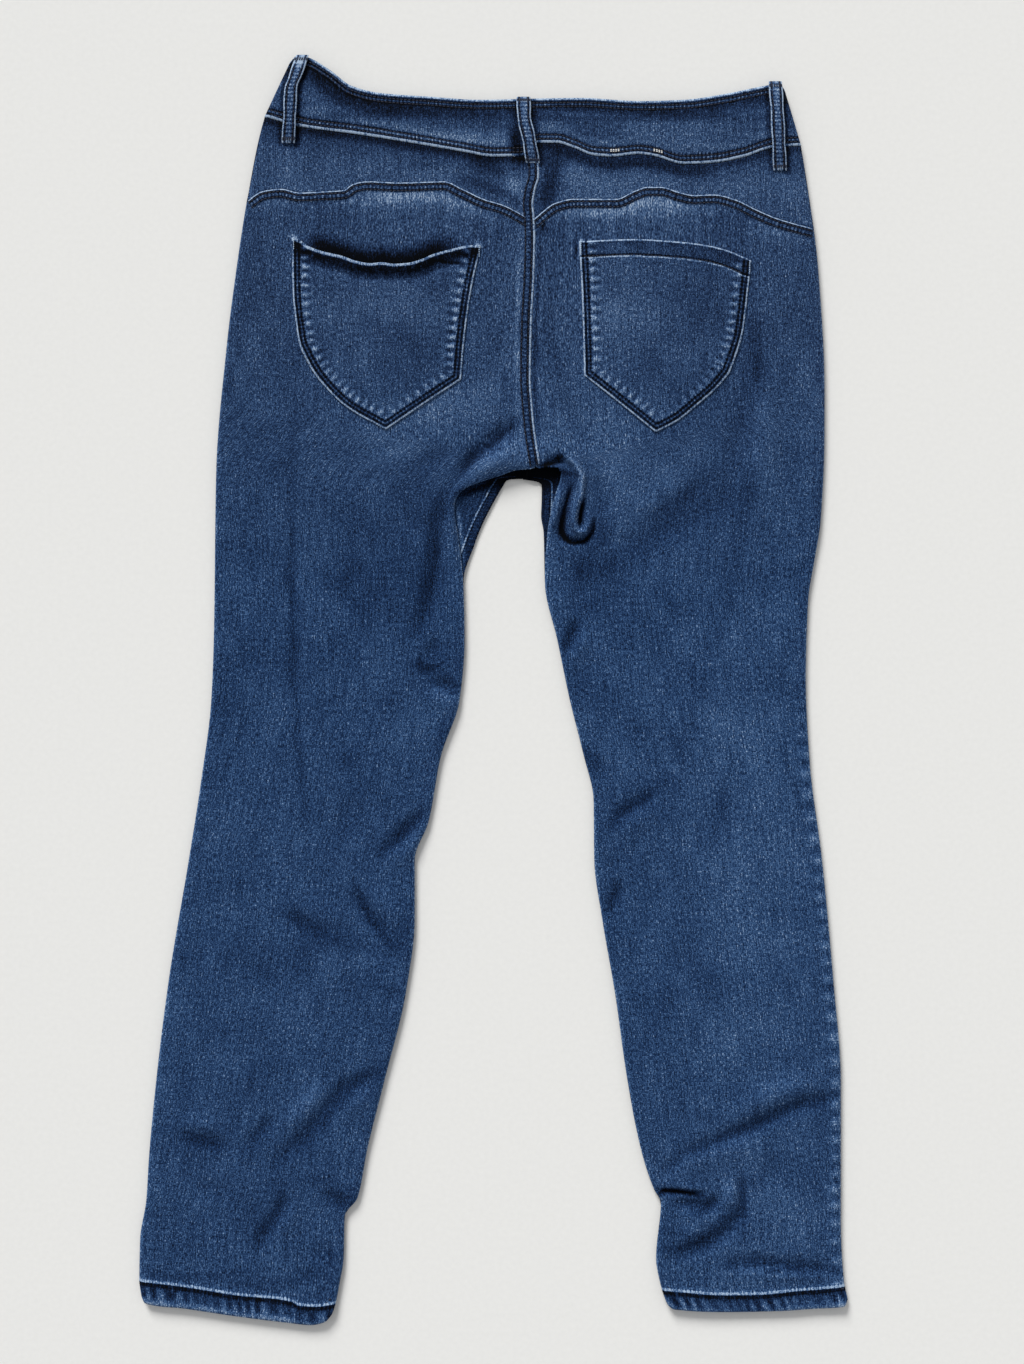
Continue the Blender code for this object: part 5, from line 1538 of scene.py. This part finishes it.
FELLED = Sewing(
    ((0.0, 0.78), (0.3, 0.94), (0.9, 0.90), (1.2, 0.30), (1.6, 0.0), (2.9, 0.0), (3.3, 0.47),
     (5.3, 0.50), (5.6, 0.02), (6.9, 0.0), (7.2, 0.44), (7.7, 0.66), (9.0, 0.5)),
    ((0.0, 0.05), (1.6, 0.03), (2.8, 0.06), (4.4, 0.20), (5.8, 0.08), (6.8, 0.05), (7.5, 0.18)))
SEAT_FELLED = Sewing(
    ((0.0, 0.84), (0.3, 0.98), (1.5, 0.96), (1.8, 0.30), (2.1, 0.0), (3.5, 0.0), (3.9, 0.42),
     (6.9, 0.43), (7.3, 0.02), (8.5, 0.0), (8.8, 0.50), (9.2, 0.70), (11.0, 0.5)),
    ((0.0, 0.04), (2.2, 0.03), (3.4, 0.04), (5.0, 0.14), (7.2, 0.05), (8.4, 0.04), (9.2, 0.12)))
LOOP_EDGE = Sewing(
    ((0.0, 0.80), (0.2, 0.96), (0.9, 0.92), (1.2, 0.36), (1.6, 0.0), (2.7, 0.0), (3.1, 0.48),
     (4.2, 0.60), (6.0, 0.56)),
    ((1.3, 0.06), (2.6, 0.12), (3.6, 0.20), (5.4, 0.10)))
LEG_HEM = Sewing(
    ((0.0, 0.74), (1.4, 0.64), (4.0, 0.48), (10.0, 0.38), (11.6, 0.24), (12.2, 0.0),
     (14.6, 0.0), (15.0, 0.52), (15.4, 0.86), (16.8, 0.84), (17.6, 0.52), (20.0, 0.5)),
    ((9.0, 0.0), (12.2, 0.10), (15.4, 0.09), (17.2, 0.09), (18.6, 0.04), (19.2, 0.0)))
FRONT_INSEAM = Sewing(
    ((0.0, 0.42), (1.6, 0.34), (3.0, 0.42), (6.0, 0.40), (6.8, 0.16), (7.3, 0.20), (7.7, 0.90),
     (8.7, 0.90), (9.2, 0.42), (12.0, 0.5)),
    ((0.0, 0.0), (3.0, 0.06), (7.0, 0.10), (9.1, 0.12), (10.0, 0.0)))


# Grains to the metre. Real yarns are 0.4 mm apart, too fine to show, so the slubs are drawn
# 0.9 mm wide and 3 mm long, the flecks 0.8 mm and the ribs 1.6 mm wide.
SLUBS, FLECKS, RIBS = 1100, 1300, 640
CLOUDS = 26                 # uneven washing, in places 40 mm wide
RUBS = 210                  # breaks in the rubbed edges, 5 mm wide
GREYER_FROM, GREYER_TO = 0.08, 0.30     # metres up Y, from the thighs to the seat
GREYER = 0.95               # the seat and waist have washed this much greyer than the legs


def denim(name, settings, across=PLAIN, hem=PLAIN, tint=0.0):
    """Washed indigo stretch denim: ring-spun warp dyed dark over a pale weft, garment
    washed so that folded edges have rubbed pale. Quite matt, with no gloss in the dark yarns."""
    made, tree, shader = new_material(name, {
        "Roughness": 1.0, "Specular IOR Level": 0.06, "Sheen Weight": 0.015,
        "Sheen Roughness": 0.6})
    place = add(tree, "ShaderNodeUVMap", uv_map="cloth").outputs[0]

    def grain(scale, detail, length):
        mapped = add(tree, "ShaderNodeMapping", {"Vector": place, "Scale": (1.0, length, 1.0)})
        return add(tree, "ShaderNodeTexNoise",
                   {"Vector": mapped.outputs[0], "Scale": scale, "Detail": detail,
                    "Roughness": 0.6}).outputs["Fac"]

    def weigh(source, weight, base):
        off = add(tree, "ShaderNodeMath", {0: source, 1: NEUTRAL}, operation="SUBTRACT")
        return add(tree, "ShaderNodeMath", {0: off.outputs[0], 1: weight, 2: base},
                   operation="MULTIPLY_ADD").outputs[0]

    slub, fleck = grain(SLUBS, 0.0, 0.30), grain(FLECKS, 0.0, 0.72)
    level = NEUTRAL + tint
    for source, weight in ((slub, 0.52), (fleck, 0.72), (grain(RIBS, 1.0, 0.05), 0.34),
                           (grain(CLOUDS, 3.0, 0.8), 0.24)):
        level = weigh(source, weight, level)
    fade = add(tree, "ShaderNodeAttribute", attribute_name="fade")
    level = add(tree, "ShaderNodeMath", {0: level, 1: fade.outputs["Fac"]},
                operation="ADD").outputs[0]
    strength = add(tree, "ShaderNodeMapRange",
                   {"Value": grain(RUBS, 3.0, 1.0), "From Min": 0.3, "From Max": 0.7,
                    "To Min": 0.5, "To Max": 1.25}).outputs[0]
    for attribute, sewing in (("across", across), ("hem", hem)):
        if sewing.lines:
            lines = profile(tree, attribute, *sewing)
            level = add(tree, "ShaderNodeMath", {0: lines, 1: strength, 2: level},
                        operation="MULTIPLY_ADD").outputs[0]
    colour = add(tree, "ShaderNodeValToRGB", {"Fac": level})
    set_ramp(colour, ((0.04, linear(settings.shadow_indigo)), (0.28, linear(settings.deep_indigo)),
                      (0.5, linear(settings.indigo)), (0.73, linear(settings.pale_indigo)),
                      (0.96, linear(settings.bare_weft))))
    spot = add(tree, "ShaderNodeTexCoord").outputs["Object"]
    height = add(tree, "ShaderNodeSeparateXYZ", {"Vector": spot}).outputs["Y"]
    greyed = add(tree, "ShaderNodeMapRange",
                 {"Value": height, "From Min": GREYER_FROM, "From Max": GREYER_TO,
                  "To Min": 1.0, "To Max": GREYER}).outputs[0]
    washed = add(tree, "ShaderNodeHueSaturation", {"Saturation": greyed, "Value": greyed,
                                                   "Color": colour.outputs[0]})
    tree.links.new(washed.outputs[0], shader.inputs["Base Color"])
    weave = add(tree, "ShaderNodeMath", {0: slub, 1: fleck}, operation="ADD")
    relief = add(tree, "ShaderNodeBump", {"Strength": 0.4, "Distance": 0.0005,
                                          "Height": weave.outputs[0]})
    tree.links.new(relief.outputs[0], shader.inputs["Normal"])
    return made


def mottled(name, values, scale, detail, stops):
    """A material whose colour wanders between the stops. scale is patches to the metre."""
    made, tree, shader = new_material(name, values)
    place = add(tree, "ShaderNodeTexCoord").outputs["Object"]
    patches = add(tree, "ShaderNodeTexNoise", {"Vector": place, "Scale": scale, "Detail": detail})
    ramp = add(tree, "ShaderNodeValToRGB", {"Fac": patches.outputs["Fac"]})
    set_ramp(ramp, stops)
    tree.links.new(ramp.outputs[0], shader.inputs["Base Color"])
    return made


def thread(name, colour):
    """Poly-core cotton sewing thread: tightly twisted, so smoother than the cloth, and
    paler where a strand of its 1.1 mm twist catches the light."""
    return mottled(name, {"Roughness": 0.7, "Sheen Weight": 0.1}, 900.0, 1.0,
                   ((0.0, linear(colour)), (1.0, brightened(colour, 1.7))))


def brass(name, colour):
    """Antique-plated brass, tumbled dull: warm metal with darker low places 2.4 mm wide."""
    return mottled(name, {"Metallic": 1.0, "Roughness": 0.42}, 420.0, 3.0,
                   ((0.3, linear("#4a3a26")), (0.6, linear(colour))))


def white_board(name, colour):
    """Matt white card with the faintest grain, 4 mm wide."""
    return mottled(name, {"Roughness": 0.95, "Specular IOR Level": 0.1}, 260.0, 2.0,
                   ((0.0, brightened(colour, 0.96)), (1.0, brightened(colour, 1.03))))


def tape(name, colour):
    """Woven polyester zip tape, dyed navy: fine ribs across it, with no shine."""
    made, tree, shader = new_material(name, {"Roughness": 0.8})
    place = add(tree, "ShaderNodeTexCoord").outputs["Object"]
    rib = add(tree, "ShaderNodeTexWave", {"Vector": place, "Scale": 320.0}, bands_direction="Y")
    ramp = add(tree, "ShaderNodeValToRGB", {"Fac": rib.outputs["Fac"]})
    set_ramp(ramp, ((0.0, linear(colour)), (1.0, linear("#232c44"))))
    tree.links.new(ramp.outputs[0], shader.inputs["Base Color"])
    return made


MATERIALS = {}              # filled by the first step and used by the others


# ---- settings --------------------------------------------------------------------------
class JeansSettings(bpy.types.PropertyGroup):
    """Sizes and colours that a user would change."""

    indigo: StringProperty(name="Indigo", description="Middle colour of the cloth, sRGB hex",
                           default="#1f385d")
    deep_indigo: StringProperty(name="Deep indigo", description="Unfaded warp, sRGB hex",
                                default="#0b1b35")
    shadow_indigo: StringProperty(name="Stitch groove", description="Darkest cloth, sRGB hex",
                                  default="#020409")
    pale_indigo: StringProperty(name="Pale indigo", description="Rubbed cloth, sRGB hex",
                                default="#46668f")
    bare_weft: StringProperty(name="Bare weft", description="Cloth worn down to its weft, sRGB hex",
                              default="#a3b8d0")
    thread_navy: StringProperty(name="Thread", description="Topstitching thread, sRGB hex",
                                default="#0d1428")
    stitch_pitch: FloatProperty(name="Stitch length", description="From one stitch to the next",
                                default=STITCH * MM, unit="LENGTH")
    thread_width: FloatProperty(name="Thread width", description="Width of the thread as it lies",
                                default=0.0008, unit="LENGTH")
    window_light: FloatProperty(name="Window light", description="Strength of the main light",
                                default=3.5)
    room_light: FloatProperty(name="Room light", description="Strength of the light all round",
                              default=0.47)
    floor_colour: StringProperty(name="Floor", description="Colour of the surface, sRGB hex",
                                 default="#ecebe7")


class JEANS_OT_materials(bpy.types.Operator):
    """Make the cloth, thread and metal materials"""

    bl_idname = "jeans.materials"
    bl_label = "Materials"

    def execute(self, context):
        settings = context.scene.jeans
        MATERIALS.update(
            leg=denim("washed_indigo_denim_leg", settings, hem=LEG_HEM),
            front=denim("washed_indigo_denim_front", settings, across=FRONT_INSEAM, hem=LEG_HEM),
            yoke=denim("washed_indigo_denim_yoke", settings, tint=0.012),
            pocket=denim("washed_indigo_denim_pocket", settings, across=POCKET_EDGE, hem=POCKET_MOUTH),
            band=denim("washed_indigo_denim_waistband", settings, across=BAND_LOW, hem=BAND_UP),
            loop=denim("washed_indigo_denim_loop", settings, across=LOOP_EDGE),
            fell=denim("washed_indigo_denim_felled_seam", settings, across=FELLED),
            seat_fell=denim("washed_indigo_denim_seat_seam", settings, across=SEAT_FELLED),
            roll=denim("washed_indigo_denim_gaping_pocket", settings, across=POCKET_EDGE,
                       hem=POCKET_ROLL),
            inside=denim("washed_indigo_denim_inside", settings, tint=-0.04),
            thread=thread("navy_topstitching_thread", settings.thread_navy),
            ecru=thread("ecru_tacking_thread", "#dcdad2"),
            worn_thread=thread("washed_pale_tacking_thread", "#8fa3b8"),
            brass=brass("antique_brass_button", "#8a6c43"),
            tape=tape("navy_zip_tape", "#10172b"),
        )
        return {"FINISHED"}


class JEANS_OT_legs(bpy.types.Operator):
    """Build the two back legs and the two front legs"""

    bl_idname = "jeans.legs"
    bl_label = "Legs"

    def execute(self, context):
        for side, sections, edge, hem, seam, toward in (
                ("left", LEFT_SECTIONS, side_left, (HEM_LEFT, HEM_SEAM_LEFT), yoke_seam_left, 1),
                ("right", RIGHT_SECTIONS, side_right, (HEM_RIGHT, HEM_SEAM_RIGHT),
                 yoke_seam_right, -1)):
            front_leg("front_leg_" + side, sections, edge, hem, toward, MATERIALS["front"])
            back_leg("back_leg_" + side, sections, edge, hem, seam, toward, MATERIALS["leg"])
        return {"FINISHED"}


class JEANS_OT_waist(bpy.types.Operator):
    """Build the yokes and the waistband"""

    bl_idname = "jeans.waist"
    bl_label = "Yokes and waistband"

    def execute(self, context):
        top, low = float(centre_back(WAIST_MIDDLE_Y)), float(centre_back(YOKE_MIDDLE_Y))
        yoke("yoke_left", yoke_seam_left,
             (side_left(WAIST_LEFT_Y), top - GAP / 2, side_left(YOKE_LEFT_Y), low - GAP / 2),
             (1.0, 0.0), MATERIALS["yoke"])
        yoke("yoke_right", yoke_seam_right,
             (top + GAP / 2, side_right(WAIST_RIGHT_Y), low + GAP / 2, side_right(YOKE_RIGHT_Y)),
             (0.0, 1.0), MATERIALS["yoke"])
        waistband_back(MATERIALS["band"])
        waistband_fronts(MATERIALS["band"])
        return {"FINISHED"}


class JEANS_OT_pockets(bpy.types.Operator):
    """Build the back pockets and their stitching"""

    bl_idname = "jeans.pockets"
    bl_label = "Back pockets"

    def execute(self, context):
        tree, tack_tree = stitch_tree(MATERIALS["thread"]), stitch_tree(MATERIALS["worn_thread"])
        for spec in POCKETS:
            shape = pocket(spec, MATERIALS["roll" if spec.gape > 1 else "pocket"])
            pocket_stitches(spec, shape, tree, tack_tree, context.scene.jeans)
        return {"FINISHED"}


class JEANS_OT_loops(bpy.types.Operator):
    """Build the belt loops with their stitching and bar tacks"""

    bl_idname = "jeans.loops"
    bl_label = "Belt loops"

    def execute(self, context):
        tree = stitch_tree(MATERIALS["thread"])
        rows, tacks = [], []
        for spec in LOOPS:
            belt_loop(spec, MATERIALS["loop"])
            rows += loop_rows(spec)
            tacks += loop_tacks(spec)
        stitches("belt_loop_stitches", rows, tree, "denim_loop", context.scene.jeans)
        stitches("belt_loop_tacks", tacks, tree, "denim_loop", context.scene.jeans, pitch=0.0016)
        for name, centre_x in FRONT_LOOPS:
            front_belt_loop(name, centre_x, MATERIALS["loop"])
        return {"FINISHED"}


class JEANS_OT_seams(bpy.types.Operator):
    """Build the felled seams and all the topstitching on the legs and waistband"""

    bl_idname = "jeans.seams"
    bl_label = "Seams and topstitching"

    def execute(self, context):
        settings = context.scene.jeans
        tree = stitch_tree(MATERIALS["thread"])
        felled_seams(tree, settings)
        band_stitches(tree, settings)
        hem_stitches(tree, settings)
        band_tacks(stitch_tree(MATERIALS["ecru"]), settings)
        return {"FINISHED"}


class JEANS_OT_closure(bpy.types.Operator):
    """Finish the button, zip and placket, which lie hidden under the back"""

    bl_idname = "jeans.closure"
    bl_label = "Button, zip and placket"

    def execute(self, context):
        waist_button(MATERIALS["brass"])
        for name, material in (("zip", "tape"), ("fly_placket", "inside")):
            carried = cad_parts[name]
            carried.data.materials.clear()
            carried.data.materials.append(MATERIALS[material])
        return {"FINISHED"}


def lay_floor(colour):
    bpy.ops.mesh.primitive_plane_add(size=FLOOR_SIZE * MM, location=(0, 0, -FLOOR_DROP * MM))
    floor = bpy.context.active_object
    floor.name = "floor"
    floor.data.materials.append(white_board("matt_white_board", colour))


def light_room(strength):
    """Even, slightly cool light from all round."""
    world = bpy.data.worlds.new("soft_room")
    bpy.context.scene.world = world
    world.use_nodes = True
    background = world.node_tree.nodes["Background"]
    background.inputs["Color"].default_value = linear("#f4f6fa")
    background.inputs["Strength"].default_value = strength


def light_window(strength):
    sun = bpy.data.lights.new("window", "SUN")
    sun.energy = strength
    sun.angle = math.radians(WINDOW_SPREAD)
    lamp = link(bpy.data.objects.new("window", sun))
    lamp.rotation_euler = (-Vector(WINDOW_SIDE)).to_track_quat("-Z", "Y").to_euler()


def overhead_camera():
    """Looks straight down, with its sensor's width along the view's longer side."""
    lens = bpy.data.cameras.new("overhead")
    lens.sensor_width = SENSOR
    lens.lens = SENSOR * (CAMERA_HEIGHT - VIEW_PLANE) / VIEW_LENGTH
    camera = link(bpy.data.objects.new("overhead", lens))
    camera.location = (VIEW_CENTRE[0] * MM, VIEW_CENTRE[1] * MM, CAMERA_HEIGHT * MM)
    return camera


class JEANS_OT_stage(bpy.types.Operator):
    """Lay the pale surface, the soft light and the camera above"""

    bl_idname = "jeans.stage"
    bl_label = "Stage"

    def execute(self, context):
        settings = context.scene.jeans
        lay_floor(settings.floor_colour)
        context.scene.view_settings.view_transform = "Standard"
        light_room(settings.room_light)
        light_window(settings.window_light)
        context.scene.camera = overhead_camera()
        return {"FINISHED"}


STEPS = (JEANS_OT_materials, JEANS_OT_stage, JEANS_OT_legs, JEANS_OT_waist, JEANS_OT_pockets,
         JEANS_OT_loops, JEANS_OT_seams, JEANS_OT_closure)


class JEANS_PT_panel(bpy.types.Panel):
    """Lists the steps in the order they are made"""

    bl_label = "Jeans"
    bl_idname = "JEANS_PT_panel"
    bl_space_type = "VIEW_3D"
    bl_region_type = "UI"
    bl_category = "Jeans"

    def draw(self, context):
        for key in JeansSettings.__annotations__:
            self.layout.prop(context.scene.jeans, key)
        for step in STEPS:
            self.layout.operator(step.bl_idname)


def register():
    for item in (JeansSettings, *STEPS, JEANS_PT_panel):
        bpy.utils.register_class(item)
    bpy.types.Scene.jeans = PointerProperty(type=JeansSettings)


def unregister():
    del bpy.types.Scene.jeans
    for item in (JEANS_PT_panel, *reversed(STEPS), JeansSettings):
        bpy.utils.unregister_class(item)


def main():
    register()
    for step in STEPS:
        group, name = step.bl_idname.split(".")
        getattr(getattr(bpy.ops, group), name)()


if __name__ == "__main__":
    main()
